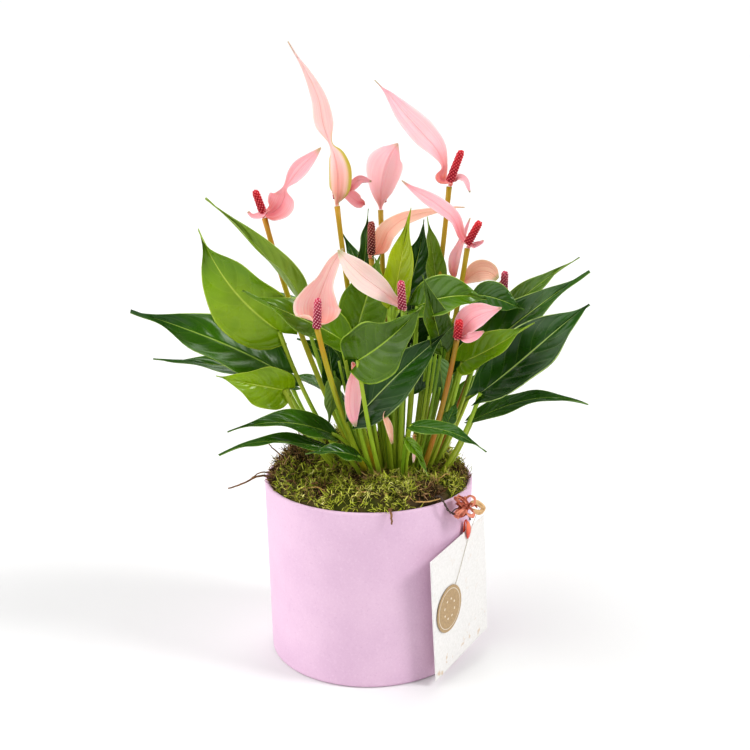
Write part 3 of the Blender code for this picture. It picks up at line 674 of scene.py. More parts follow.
def make_spadix(name, foot, tip, radius, look, node=None, bead=0.86):
    """A tapered spike covered in beads that are set in a spiral."""
    foot = np.array(foot, float)
    tip = np.array(tip, float)
    axis = tip - foot
    length = np.linalg.norm(axis)
    axis = axis / length
    side = unit(np.cross(axis, (0.2, 0.9, 0.1)))
    other = np.cross(axis, side)
    parts = Parts()

    def girth(t):
        return radius * (1 - 0.18 * t) * math.sqrt(max(0.0, 1 - max(0.0, (t - 0.82) / 0.18) ** 2))

    nose = 0.82 + 0.18 * np.sin(np.linspace(0.2, 1, 6) * math.pi / 2)
    marks = [*np.linspace(0, 0.82, 7), *nose]
    core = [max(0.2, girth(t) - bead * 0.3) for t in marks]
    tube(parts, [foot + axis * length * t for t in marks], core, sides=14)
    parts.uvs[-1][:, 0] = 0.0
    count = int(2 * math.pi * radius * length / (bead * bead * 3.3))
    for i in range(count):
        t = 0.02 + 0.96 * i / count
        angle = i * GOLDEN_ANGLE
        r = girth(t)
        slope = (girth(min(1, t + 0.02)) - girth(max(0, t - 0.02))) / (0.04 * length)
        spoke = side * math.cos(angle) + other * math.sin(angle)
        normal = unit(spoke - axis * slope)
        a = unit(np.cross(normal, axis))
        b = np.cross(normal, a)
        place = foot + axis * length * t + spoke * r
        verts = []
        uvs = []
        for ring, (out, up) in enumerate(((1.0, -0.35), (0.82, 0.3), (0.4, 0.62))):
            for k in range(6):
                x, y = around(k + ring * 0.5, 6)
                verts.append(place + (a * x + b * y) * bead * out + normal * bead * up)
                uvs.append((ring * 0.4, t))
        verts.append(place + normal * bead * 0.72)
        uvs.append((1.0, t))
        faces = grid_faces(3, 6, closed=True) + [(12 + k, 12 + (k + 1) % 6, 18) for k in range(6)]
        parts.take(verts, faces, uvs)
    parts.finish(name, [LOOKS[look]], node)


# ---------------------------------------------------------------- pot, soil and moss

def make_pot():
    """The outer pot: nearly straight sides, a thin rounded rim and a rounded foot."""
    curved = POT_FOOT_RADIUS - FOOT_ROUND
    profile = [(0.01, 0.0), (POT_FOOT_RADIUS - 6, 0.0), (curved, 0.05)]
    for i in range(1, 7):
        angle = math.pi / 2 * i / 6
        profile.append((curved + FOOT_ROUND * math.sin(angle), FOOT_ROUND - FOOT_ROUND * math.cos(angle)))
    for i in range(1, 9):
        share = i / 9
        out = (POT_RIM_RADIUS - POT_FOOT_RADIUS) * share
        profile.append((POT_FOOT_RADIUS + out, FOOT_ROUND + (POT_HEIGHT - 4.2) * share))
    lip = POT_WALL / 2
    for i in range(9):
        angle = math.pi * i / 8
        out = lip * math.cos(angle) - lip
        profile.append((POT_RIM_RADIUS + out, POT_HEIGHT - lip + lip * math.sin(angle)))
    inside = POT_FOOT_RADIUS - POT_WALL
    profile += [(POT_RIM_RADIUS - POT_WALL, 100.0), (inside, 8.0), (inside - 3, 4.0), (0.01, 4.0)]
    s = Shader("pot_glaze", 0.62, Specular_IOR_Level=0.35)
    speck = s.noise(620.0, 5, rough=0.7)
    cloud = s.noise(26.0, 3)
    ground = s.mix(s.span(cloud, 0.3, 0.7), srgb(216, 183, 207), srgb(223, 191, 213))
    ground = s.mix(s.span(speck, 0.5, 0.72, 0.0, 0.3), ground, srgb(238, 214, 230))
    ground = s.mix(s.span(speck, 0.28, 0.44, 0.4, 0.0), ground, srgb(196, 156, 188))
    s.surface(ground, s.span(speck, 0.3, 0.7, 0.55, 0.72), speck, 0.22, 0.7)
    steps = 160
    rows = len(profile)
    verts = [(*around(j, steps, radius), height) for radius, height in profile for j in range(steps)]
    uvs = [(j / steps, i / rows) for i in range(rows) for j in range(steps)]
    parts = Parts()
    parts.take(verts, grid_faces(rows, steps, closed=True), uvs)
    parts.finish("pot_shell", [s.material], "pot")


# the moss heaps: x, y, size and height; then its dry places: x, y and size
MOSS_HEAPS = ((-42, 24, 14, 14.0), (56, 26, 12, 6.0), (-14, 48, 16, 7.0), (-62, -8, 10, 8.0),
              (20, -48, 14, 1.5))
MOSS_DRY = ((-46, 26, 15), (-3, -24, 11), (-62, -6, 11), (61, -4, 7), (38, -50, 8), (-30, -46, 5),
            (10, 52, 12))


def lump(x, y):
    """A gentle repeatable unevenness between about -1 and 1."""
    return (math.sin(0.21 * x + 1.3 * math.sin(0.17 * y))
            + math.sin(0.27 * y + 0.9 * math.sin(0.13 * x) + 1.1)
            + 0.6 * math.sin(0.52 * x - 0.37 * y) + 0.5 * math.sin(0.44 * y + 0.61 * x + 2.0)) / 3.1


def moss_top(x, y):
    """Height of the moss above the floor at a place on the soil."""
    r = math.hypot(x, y)
    dx = (x - CROWN[0]) / 30
    dy = (y - CROWN[1]) / 22
    hollow = math.exp(-(dx * dx + dy * dy) ** 1.5)
    edge = max(0.0, (r - 46) / 20.5)
    height = 133.5 - 4.6 * edge ** 2.4 - 5 * hollow
    for middle_x, middle_y, size, rise in MOSS_HEAPS:
        height += rise * bell(x - middle_x, y - middle_y, size)
    height += 2.4 * lump(x, y) + 2.6 * lump(2.4 * x + 5, 2.3 * y - 7)
    return min(height, MOSS_RIM_HEIGHT + 1.2 * (MOSS_RADIUS - r))


def moss_tone(x, y):
    """From 0, dry and brown, to 1, fresh and yellow-green."""
    tone = 0.66 + 0.14 * lump(1.7 * x + 9, 1.9 * y)
    for middle_x, middle_y, size in MOSS_DRY:
        tone -= 0.72 * bell(x - middle_x, y - middle_y, size)
    return tone


def make_moss():
    """The moss: an uneven mat on the soil, coloured mostly with painted shade, and curved fronds standing on
    it.
    """
    outer = 66.2
    rings = 26
    steps = 120
    verts = []
    uvs = []
    for i in range(rings):
        r = max(0.2, outer * (i / (rings - 1)) ** 0.85)
        for j in range(steps):
            x, y = around(j, steps, r)
            z = moss_top(x, y) + 0.9 * math.sin(1.7 * x + 2.3 * y) * math.sin(1.9 * y)
            verts.append((x, y, z - 3.2))
            # The mat reads its colour at the frond foot, so it is mostly the painted shade colour: a dark
            # sheet for the shade between the tufts.
            uvs.append((moss_tone(x, y) - 0.25, 0.08))
    verts += [(*around(j, steps, outer), SOIL_TOP + 0.4) for j in range(steps)]
    uvs += [(0.2, 0.0)] * steps
    faces = grid_faces(rings + 1, steps, closed=True)
    stops = tuple((place, srgb(*tone)) for place, tone in (
        (0.0, (110, 78, 50)), (0.16, (190, 154, 112)), (0.30, (176, 152, 90)), (0.42, (136, 146, 42)),
        (0.62, (178, 188, 60)), (0.82, (216, 218, 100)), (1.0, (238, 234, 150))))
    mat = moss_material("moss_mat", stops, srgb(34, 34, 10))
    parts = Parts()
    parts.take(verts, faces, uvs)
    parts.finish("moss_mat", [mat], "moss")

    tufts = 820
    fronds = 22
    parts = Parts()
    for tuft in range(tufts):
        r = 66.3 * math.sqrt((tuft + 0.5) / tufts)
        angle = GOLDEN_ANGLE * tuft + rng.normal(0, 0.02)
        x = r * math.cos(angle) + rng.normal(0, 0.5)
        y = r * math.sin(angle) + rng.normal(0, 0.5)
        if rng.uniform() < 0.13 and r < 60:
            continue
        slope = unit((moss_top(x - 1, y) - moss_top(x + 1, y), moss_top(x, y - 1) - moss_top(x, y + 1), 2.0))
        core = np.array((x, y, moss_top(x, y) - rng.uniform(0.2, 4.4)))
        tuft_tone = moss_tone(x, y) + rng.normal(0, 0.15)
        curl = rng.normal(0, 0.45, 3)
        for _ in range(fronds):
            up = unit(slope * rng.uniform(0.15, 1.0) + rng.normal(0, 0.62, 3))
            if np.dot(up, slope) < 0:
                up = up - 1.6 * slope * np.dot(up, slope)
            length = rng.uniform(3.0, 7.0)
            bend = curl + rng.normal(0, 1.4, 3) - 0.35 * slope
            across = unit(np.cross(up, rng.normal(0, 1, 3)))
            width = rng.uniform(0.20, 0.44)
            place = core + rng.normal(0, 1.1, 3)
            heading = up
            tone = tuft_tone + rng.normal(0, 0.15)
            verts = []
            uvs = []
            for step, half in enumerate((0.8, 1.0, 1.0, 0.8, 0.2)):
                verts += [place - across * width * half, place + across * width * half]
                uvs += [(tone, step / 4)] * 2
                heading = unit(heading + bend * 0.42)
                place = place + heading * length / 4
            ends = np.array(verts)
            reach = np.maximum(1.0, np.hypot(ends[:, 0], ends[:, 1]))
            limit = np.where(ends[:, 2] < POT_HEIGHT + 0.6, MOSS_RADIUS + 0.1, OVERHANG_RADIUS)
            ends[:, :2] *= np.minimum(1, limit / reach)[:, None]
            parts.take(ends, [(0, 1, 3, 2), (2, 3, 5, 4), (4, 5, 7, 6), (6, 7, 9, 8)], uvs)
    # The dark colour given here is the painted shade at each frond's foot.
    parts.finish("moss_fronds", [moss_material("moss_frond", stops, srgb(40, 40, 10))])


def make_bits():
    """Twigs and bits of bark caught in the moss."""
    bark = grain_material("twig_bark", srgb(96, 66, 40), srgb(150, 112, 74), 300.0, 0.8, 0.3)
    straw = grain_material("straw", srgb(168, 128, 70), srgb(206, 172, 110), 260.0, 0.7, 0.2)
    parts = Parts()
    for points, radius, kind in (
        (((-63, -20, 129), (-72, -24, 131), (-82, -30, 128), (-91, -34, 126)), 0.8, 0),
        (((-62, -24, 133), (-70, -28, 135), (-76, -30, 132)), 0.55, 0),
        (((-58, 8, 133), (-66, 6, 141), (-68, 4, 146)), 0.5, 0),
        (((13, -66, 124), (14, -70, 125.4), (14.5, -71.6, 121), (14.8, -71.4, 116.5)), 0.95, 0),
        (((30, -60, 127), (38, -57, 126), (46, -52, 126)), 0.6, 1),
        (((-8, -55, 131), (0, -58, 133), (8, -57, 130)), 0.5, 1),
        (((44, -36, 132), (50, -34, 136), (53, -30, 134)), 0.4, 1),
        (((-40, -44, 130), (-32, -50, 133), (-26, -52, 130)), 0.45, 1),
    ):
        path = curve(points, 14) + 0.25 * np.sin(np.arange(14)[:, None] * (1.9, 2.6, 3.1))
        tube(parts, path, radius * np.linspace(1, 0.6, 14), sides=7, kind=kind)
    for i in range(46):
        r = 62 * math.sqrt(rng.uniform(0.15, 1))
        angle = rng.uniform(0, 2 * math.pi)
        x, y = r * math.cos(angle), r * math.sin(angle)
        foot = np.array((x, y, moss_top(x, y) + rng.uniform(-0.6, 0.8)))
        run = unit(rng.normal(0, 1, 3) * (1, 1, 0.35)) * rng.uniform(1.5, 4.5)
        path = [foot - run, foot, foot + run * 0.9 + (0, 0, rng.uniform(-0.5, 0.8))]
        thick = rng.uniform(0.35, 1.1)
        thick = thick * np.array((0.3, 0.9, 1, 0.8, 0.3))
        tube(parts, curve(path, 5), thick, sides=6, kind=int(i % 3 == 0), squash=0.6)
    parts.finish("moss_bits", [bark, straw])


# ---------------------------------------------------------------- card and what ties it on

def card_frame():
    """The card's middle and its three directions: across, up, and out of its printed side."""
    angle = math.radians(CARD_TURN)
    lean = math.radians(CARD_LEAN)
    out = np.array((math.cos(angle), math.sin(angle), 0.0))
    level = np.array((-math.sin(angle), math.cos(angle), 0.0))
    upright = np.array((0.0, 0.0, 1.0))
    across = level * math.cos(lean) + upright * math.sin(lean)
    up = upright * math.cos(lean) - level * math.sin(lean)
    middle = out * CARD_OUT
    middle[2] = CARD_LIFT + (CARD_HEIGHT * math.cos(lean) + CARD_WIDTH * math.sin(lean)) / 2
    return middle, across, up, out


MIDDLE, RIGHT, UP, OUT = card_frame()


def on_card(x, y, z):
    return MIDDLE + RIGHT * x + UP * y + OUT * z


def make_card():
    """A stiff card with softened edges, faint fibre and a round plain seal."""
    half_x = CARD_WIDTH / 2
    half_y = CARD_HEIGHT / 2
    columns = [-half_x, 0.2 - half_x, *np.linspace(2 - half_x, half_x - 2, 15), half_x - 0.2, half_x]
    rows = [-half_y, 0.2 - half_y, *np.linspace(2 - half_y, half_y - 2, 19), half_y - 0.2, half_y]
    verts = []
    uvs = []
    for face in (1, -1):
        for y in rows:
            for x in columns:
                edge = abs(x) > half_x - 0.1 or abs(y) > half_y - 0.1
                bow = 0.25 * math.sin(x / 23) * math.cos(y / 30)
                verts.append(on_card(x, y, bow + face * (0.22 if edge else 0.38)))
                uvs.append((x / CARD_WIDTH + 0.5, y / CARD_HEIGHT + 0.5))
    wide = len(columns)
    tall = len(rows)
    total = wide * tall
    faces = grid_faces(tall, wide) + grid_faces(tall, wide, start=total, flip=True)
    faces += edge_faces(tall, wide)
    s = Shader("card_paper", 0.75, Specular_IOR_Level=0.3)
    u, v = s.uv()
    fibre = s.noise(500.0, 5, rough=0.7)
    speck = s.noise(160.0, 2)
    ground = s.mix(s.span(fibre, 0.3, 0.7), srgb(224, 222, 219), srgb(234, 232, 230))
    low = s.span(v, 0.05, 0.35, 1.0, 0.25)
    ground = s.mix(s.times(s.span(speck, 0.62, 0.74), low), ground, srgb(214, 196, 176))
    s.surface(ground, s.span(fibre, 0.3, 0.7, 0.68, 0.82), fibre, 0.08)
    parts = Parts()
    parts.take(verts, faces, uvs)
    parts.finish("card_sheet", [s.material], "gift_card")

    s = Shader("seal_paper", 0.5)
    u, v = s.uv()
    grain = s.noise(700.0, 4)
    ground = s.mix(s.span(grain, 0.3, 0.7), srgb(166, 138, 100), srgb(184, 157, 118))
    line = s.span(s.apart(u, 0.86), 0.012, 0.022, 1.0, 0.0)
    dots = s.span(s.apart(s.math("FRACT", s.times(v, 8.0)), 0.5), 0.12, 0.18, 1.0, 0.0)
    dots = s.times(s.span(s.apart(u, 0.42), 0.03, 0.05, 1.0, 0.0), dots)
    ground = s.mix(s.times(s.math("MAXIMUM", line, dots), 0.75), ground, srgb(236, 228, 212))
    s.surface(ground, s.span(grain, 0.3, 0.7, 0.42, 0.6), s.plus(grain, s.times(line, 2.0)), 0.08)
    verts = [on_card(SEAL_SIDE, 0, 1.05)]
    uvs = [(0.0, 0.0)]
    radii = (3, 6, 9, 12, 14, 15.4, 15.85, SEAL_RADIUS, SEAL_RADIUS)
    lifts = (1.05, 1.05, 1.05, 1.04, 1.03, 1.01, 0.97, 0.9, 0.7)
    steps = 64
    for radius, lift in zip(radii, lifts):
        for j in range(steps + 1):
            x, y = around(j, steps, radius)
            verts.append(on_card(SEAL_SIDE + x, y, lift))
            uvs.append((radius / SEAL_RADIUS, j / steps))
    faces = [(0, 1 + j, 2 + j) for j in range(steps)]
    faces += grid_faces(len(radii), steps + 1, start=1, flip=True)
    parts = Parts()
    parts.take(verts, faces, uvs)
    parts.finish("seal_disc", [s.material], "card_seal")


def twisted(parts, path, radius, offset, turns, sides=7):
    """Two strands twisted round one path."""
    last = len(path) - 1
    directions = list(frames(travel(path), (0.3, 0.9, 0.2)))
    for strand in range(2):
        line = []
        for i, (a, b) in enumerate(directions):
            x, y = around(turns * i / last + strand / 2, 1)
            line.append(path[i] + (a * x + b * y) * offset)
        tube(parts, line, radius, sides=sides)


def ribbon(parts, points, width, turn, kind=0, count=34, wrinkle=0.35):
    """A flat crinkled strip through points, turning about its own length."""
    path = curve(points, count)
    heading = travel(path)
    verts = []
    uvs = []
    marks = (-1, -0.5, 0, 0.5, 1)
    for i, (side, other) in enumerate(frames(heading, (0.2, 0.3, 0.93))):
        angle = turn[0] + (turn[1] - turn[0]) * i / (count - 1)
        a = side * math.cos(angle) + other * math.sin(angle)
        b = np.cross(heading[i], a)
        for face in (1, -1):
            for m in marks if face == 1 else marks[::-1]:
                crease = wrinkle * math.sin(5.0 * m + 0.9 * i) * 0.5 + wrinkle * abs(m)
                verts.append(path[i] + a * m * width / 2 + b * (crease + face * 0.09 * (1 - 0.5 * abs(m))))
                uvs.append(((m + 1) / 2, i / (count - 1)))
    faces = grid_faces(count, 10, closed=True)
    faces.append(tuple(range(9, -1, -1)))
    faces.append(tuple((count - 1) * 10 + j for j in range(10)))
    parts.take(verts, faces, uvs, kind)


def make_ties():
    """The wire from the moss, the peg, the thread and the raffia bow."""
    wire = grain_material("wire_dark", srgb(46, 34, 28), srgb(92, 74, 62), 500.0, 0.5, 0.1)
    points = ((42, -54, 128), (45, -56.5, 129.5), (47.5, -57.5, 126), (51, -55.5, 119), (55.5, -50, 114.5),
              (60.5, -43.5, 112), (65, -37, 109), (66.5, -34.5, 104.5))
    parts = Parts()
    twisted(parts, curve(points, 60), 0.36, 0.42, 7)
    points = ((53, -52.5, 116.5), (56, -51.5, 119), (60, -50.5, 118.5), (64, -48, 118))
    tube(parts, curve(points, 20), 0.35, sides=7)
    parts.finish("twisted_wire", [wire], "tie_wire")

    s = Shader("peg_stain_and_highlight", 0.25, Coat_Weight=0.4, Coat_Roughness=0.12)
    u, v = s.uv()
    line = s.streaks(u, v, 10.0, 1.5, 3.0)
    # painted highlight: the stained red pales to a light orange towards the peg's top
    ground = s.mix(s.span(v, 0.1, 0.95), srgb(206, 44, 24), srgb(240, 130, 88))
    s.surface(s.mix(s.span(line, 0.3, 0.7, 0.0, 0.4), ground, srgb(222, 74, 44)), None, line, 0.12)
    parts = Parts()
    steps = 14
    for face, size in ((1, 1.0), (-1, 0.6)):
        verts = []
        uvs = []
        for i in range(steps + 1):
            t = i / steps
            half = size * 2.9 * math.sin(math.pi * min(1, max(0.02, t * 0.94 + 0.05))) ** 0.62
            depth = size * 1.9 * math.sin(math.pi * min(1, max(0.03, t * 0.94 + 0.05))) ** 0.7
            for j in range(steps):
                x, y = around(j, steps)
                z = 0.78 + depth * (0.5 + 0.5 * y)
                verts.append(on_card(PEG_SIDE + half * x, PEG_FOOT + PEG_LENGTH * t, face * z))
                uvs.append((j / steps, t))
        faces = grid_faces(steps + 1, steps, closed=True, flip=face < 0)
        faces.append(tuple(range(steps))[::-face])
        faces.append(tuple(range(steps * steps, steps * (steps + 1)))[::face])
        parts.take(verts, faces, uvs)
    eye = PEG_FOOT + 12.1
    loop = [on_card(PEG_SIDE + 1.5 * math.cos(a), eye + 1.2 * math.sin(a), 2.6 * math.sin(a * 0.5) - 1.3)
            for a in np.linspace(0, 2 * math.pi, 17)]
    tube(parts, loop, 0.42, sides=7)
    parts.finish("peg_body", [s.material], "peg")

    flax = grain_material("thread_flax", srgb(190, 184, 168), srgb(220, 214, 202), 900.0, 0.8, 0.1)
    parts = Parts()
    for turns, count, points in (
        (16, 40, ((-6.5, 13.2, 0.62), (-2, 19, 0.9), (4, 27, 0.85), (8.6, 33.5, 0.9), (11.5, 38.3, 1.3))),
        (14, 34, ((14.6, 40, 0.9), (16.3, 45, 1.6), (18.5, 51, 3.2), (21, 58.5, 5.6))),
    ):
        twisted(parts, curve([on_card(*point) for point in points], count), 0.15, 0.13, turns, sides=6)
    parts.finish("card_string", [flax], "card_thread")

    parts = Parts()
    for i in range(13):
        out = unit(np.array((-0.38, -0.30, 0.42)) + rng.normal(0, 0.55, 3) * (1, 0.6, 1))
        reach = rng.uniform(6.0, 9.4)
        wide = unit(np.cross(out, rng.normal(0, 1, 3))) * reach * rng.uniform(0.25, 0.5)
        out = out * reach
        shape = (0 * out, out * 0.45 + wide, out + wide * 0.7, out * 1.05 - wide * 0.4,
                 out * 0.45 - wide * 0.8, rng.normal(0, 0.5, 3))
        ribbon(parts, KNOT + shape, rng.uniform(1.6, 2.8), rng.uniform(-2, 2, 2), kind=int(i % 4 == 1),
               wrinkle=0.5)
    for i in range(4):
        shape = ((-5, -0.8, 0.5 + i), (-1, -1.2, -1.4), (2.5, 0.5, 1.6),
                 (5 + 0.8 * i, 1.2 + 0.4 * i, 0.8 - 0.6 * i))
        ribbon(parts, KNOT + shape, 1.9, (0.2, 1.4 + i), kind=1, count=20)
    for i in range(5):
        swing = 0.5 * i
        shape = ((1.5, 0.5, 1.0), (4.5 + swing, 1.6, 3.4 - 0.6 * i), (9.0, 3.2, 2.2 - 0.8 * i),
                 (12.6 - swing, 4.0, -2.8), (8.8, 3.0, -6.0 + 0.5 * i), (3.5, 1.4, -1.8))
        ribbon(parts, KNOT + shape, 1.7, (0.6 + 0.5 * i, 2.2), kind=2)
    shape = ((-1, -1.6, -1.8), (0.4, -2.2, 0), (1.2, -1.2, 1.8), (1, 1.2, 1.4), (-0.6, 1.6, -0.4),
             (-1.2, -0.6, -1.8))
    ribbon(parts, KNOT + shape, 2.2, (1.2, 1.8), kind=1, count=24)
    parts.finish("raffia_bow", [LOOKS["salmon"], LOOKS["rust"], LOOKS["straw"]], "ribbon_bow")


# ---------------------------------------------------------------- the plant

def grow_leaves():
    """Every leaf: those that stand for CAD nodes, then small ones between and behind them."""
    cad = (
        (1, (-57, -20, 228), (-102, -45, 297), 45, (-0.3, -0.85, 0.45), "bright",
         dict(rise=(3, 5), sway=-8, peak=0.8, fold=(4, 10), wave=2.2)),
        (2, (-58, -12, 199), (-150, -25, 242), 42, (-0.2, -0.6, 0.78), "dark",
         dict(rise=(8, 6), fold=(6, 10), wave=1.8)),
        (3, (-52, 6, 185), (-142, 0, 204), 28, (0, -0.25, 0.97), "dark", dict(rise=(8, 4), peak=1.0)),
        (4, (-54, -28, 191), (-94, -50, 206), 28, (-0.3, -0.92, 0.25), "bright",
         dict(rise=(3, 2), peak=1.0, wave=1.8)),
        (5, (-24, -27, 161), (-86, -68, 176), 23, (0.1, -0.55, 0.83), "dark",
         dict(rise=(10, 15), habit=LOW, fold=(10, 12))),
        (6, (-24, -42, 155), (-92, -66, 160), 16, (0, -0.3, 0.95), "dark", dict(rise=(8, 15), habit=LOW)),
        (7, (-43, -6, 243), (-100, -28, 313), 24, (0.62, -0.42, 0.66), "pale_leaf",
         dict(rise=(4, 7), peak=1.1, fold=(28, 34), cup=(20, 12))),
        (8, (-17, -24, 223), (-77, -46, 259), 32, (-0.1, -0.6, 0.8), "mid",
         dict(rise=(4, -2), peak=1.0, fold=(12, 16))),
        (9, (-6, -60, 219), (32, -84, 258), 38, (-0.15, -0.97, 0.15), "olive_leaf",
         dict(rise=(4, 5), sway=3, wave=2.6, fold=(16, 10))),
        (10, (-7, -39, 176), (53, -47, 237), 30, (-0.2, -0.95, 0.25), "deep",
         dict(rise=(-2, 0), sway=-3, peak=0.8, fold=(14, 8))),
        (11, (-7, -11, 228), (8, 2, 273), 32, (0, -0.9, 0.4), "mid", dict(rise=(4, 4), peak=0.8)),
        (12, (16, -19, 247), (27, -8, 305), 22, (0, -0.95, 0.3), "young",
         dict(rise=(0, 0), peak=1.1, fold=(18, 18))),
        (13, (24, 9, 245), (36, 17, 294), 20, (0.2, -0.95, 0.2), "dark",
         dict(rise=(0, 0), sway=3, peak=0.8, fold=(16, 16))),
        (14, (31, -25, 245), (74, -32, 251), 30, (0, -0.75, 0.66), "mid",
         dict(rise=(8, 12), peak=0.7, fold=(14, 10), cup=(20, 24))),
        (15, (70, 0, 247), (100, -15, 240), 22, (0.2, -0.8, 0.5), "dark", dict(rise=(6, 4), peak=0.8)),
        (16, (84, 22, 223), (138, 10, 270), 20, (-0.2, -0.5, 0.85), "mid", dict(rise=(4, 4))),
        (17, (71, 2, 205), (143, 0, 263), 34, (-0.4, -0.6, 0.7), "dark", dict(rise=(3, 4))),
        (18, (72, -28, 189), (138, -32, 248), 38, (-0.5, -0.75, 0.45), "deep",
         dict(rise=(-4, 2), peak=0.6, fold=(12, 8), wave=1.8)),
        (19, (68, -13, 166), (141, -30, 182), 20, (-0.1, -0.35, 0.93), "dark", dict(rise=(8, 18))),
        (20, (27, -55, 175), (72, -75, 165), 13, (0, -0.45, 0.9), "dark",
         dict(rise=(7, 10), peak=0.8, habit=LOW)),
        (21, (60, -30, 210), (102, -50, 240), 25, (-0.62, -0.68, 0.4), "bright",
         dict(rise=(3, 6), sway=4, peak=0.85, fold=(12, 22))),
        (22, (-30, 45, 205), (-85, 95, 233), 36, (-0.2, 0.3, 0.93), "dark", dict(rise=(8, 8), peak=1.0)),
        (23, (60, 45, 200), (95, 100, 217), 36, (0.2, 0.3, 0.93), "dark", dict(rise=(8, 8), peak=1.0)),
    )
    for number, base, tip, width, face, look, extra in cad:
        node = "leaf_%02d" % number
        make_leaf(node + "_fine", base, tip, width, face, look=look, node=node, phase=number * 1.3, **extra)
    small = (
        ((-7, -40, 150), (-39, -60, 159), 15, (0, -0.5, 0.85), "dark", dict(rise=(4, 4), habit=LOW)),
        ((45, 10, 252), (38, 0, 298), 15, (0.2, -0.95, 0.3), "pale_leaf", dict(rise=(0, 1), fold=(20, 20))),
        ((-4, 25, 249), (0, 40, 298), 14, (0.2, -0.95, 0.2), "dark", dict(rise=(0, 0), fold=(20, 20))),
        ((2, 40, 242), (-20, 50, 284), 11, (0, -0.9, 0.4), "dark", dict(rise=(2, 2))),
        ((16, 35, 237), (4, 45, 264), 18, (0, -0.9, 0.4), "mid", dict(rise=(2, 2))),
        ((46, -38, 222), (33, -46, 269), 20, (0.3, -0.9, 0.2), "olive_leaf",
         dict(rise=(1, 1), fold=(22, 22))),
        ((46, -15, 207), (50, -20, 172), 15, (0, 0.9, 0.3), "dark", dict(rise=(0, 0), lobe=0.1)),
        ((24, -60, 168), (37, -74, 149), 8, (0, -0.6, 0.8), "mid",
         dict(rise=(4, 5), habit=LOW, fold=(24, 30))),
        ((51, -30, 170), (57, -30, 184), 9, (0, -0.9, 0.3), "dark", dict(rise=(1, 1), habit=LOW)),
        ((41, 0, 202), (17, -10, 178), 26, (0, -0.9, 0.4), "deep", dict(rise=(4, 4))),
        ((-23, -5, 188), (-27, -12, 224), 16, (0.2, -0.95, 0.2), "deep", dict(rise=(0, 0))),
        ((-22, -18, 196), (-26, -22, 164), 11, (0, 0.9, 0.2), "olive_leaf", dict(rise=(0, 0), lobe=0.1)),
        ((10, 12, 205), (-14, 6, 238), 30, (0, -0.85, 0.5), "deep", dict(rise=(3, 3))),
        ((48, 8, 200), (66, 4, 236), 30, (0, -0.85, 0.5), "deep", dict(rise=(3, 3))),
        ((30, 22, 210), (28, 16, 250), 30, (0, -0.9, 0.4), "deep", dict(rise=(3, 3))),
        ((-14, 20, 190), (-48, 18, 214), 30, (0, -0.7, 0.7), "dark", dict(rise=(5, 4))),
        ((52, 24, 196), (92, 34, 214), 30, (0, -0.6, 0.8), "dark", dict(rise=(5, 4))),
        ((8, 48, 196), (-8, 92, 226), 34, (0, 0.4, 0.9), "dark", dict(rise=(7, 7))),
        ((30, 52, 186), (40, 96, 204), 34, (0.1, 0.4, 0.9), "mid", dict(rise=(7, 7))),
        ((-6, 42, 176), (-44, 84, 188), 30, (-0.1, 0.3, 0.95), "mid", dict(rise=(8, 8))),
        ((48, 40, 172), (80, 76, 180), 28, (0.2, 0.3, 0.95), "dark", dict(rise=(8, 8))),
        ((-22, 30, 168), (-72, 48, 176), 26, (-0.2, 0.2, 0.97), "dark", dict(rise=(9, 9))),
        ((62, 24, 168), (112, 44, 180), 26, (0.2, 0.1, 0.97), "mid", dict(rise=(9, 9))),
        ((20, 40, 216), (24, 66, 258), 26, (0, 0.8, 0.5), "bright", dict(rise=(2, 3))),
    )
    for number, (base, tip, width, face, look, extra) in enumerate(small):
        make_leaf("small_leaf_%02d" % (number + 1), base, tip, width, face, look=look,
                  stalk="petiole_dark", radius=1.0, phase=number * 0.9, **extra)
    bare_stalks = 34
    for number in range(bare_stalks):
        angle = 2.4 * number
        reach = 0.35 + 0.6 * ((number * 7) % 10) / 10
        height = 190 + 8 * ((number * 3) % 5)
        top = (20 + 48 * reach * math.cos(angle), -8 + 30 * reach * math.sin(angle), height)
        stalk = ("petiole", "petiole", "petiole_dark")[number % 3]
        make_petiole("petiole_%02d" % (number + 1), top, 1.25, 0.9, stalk)


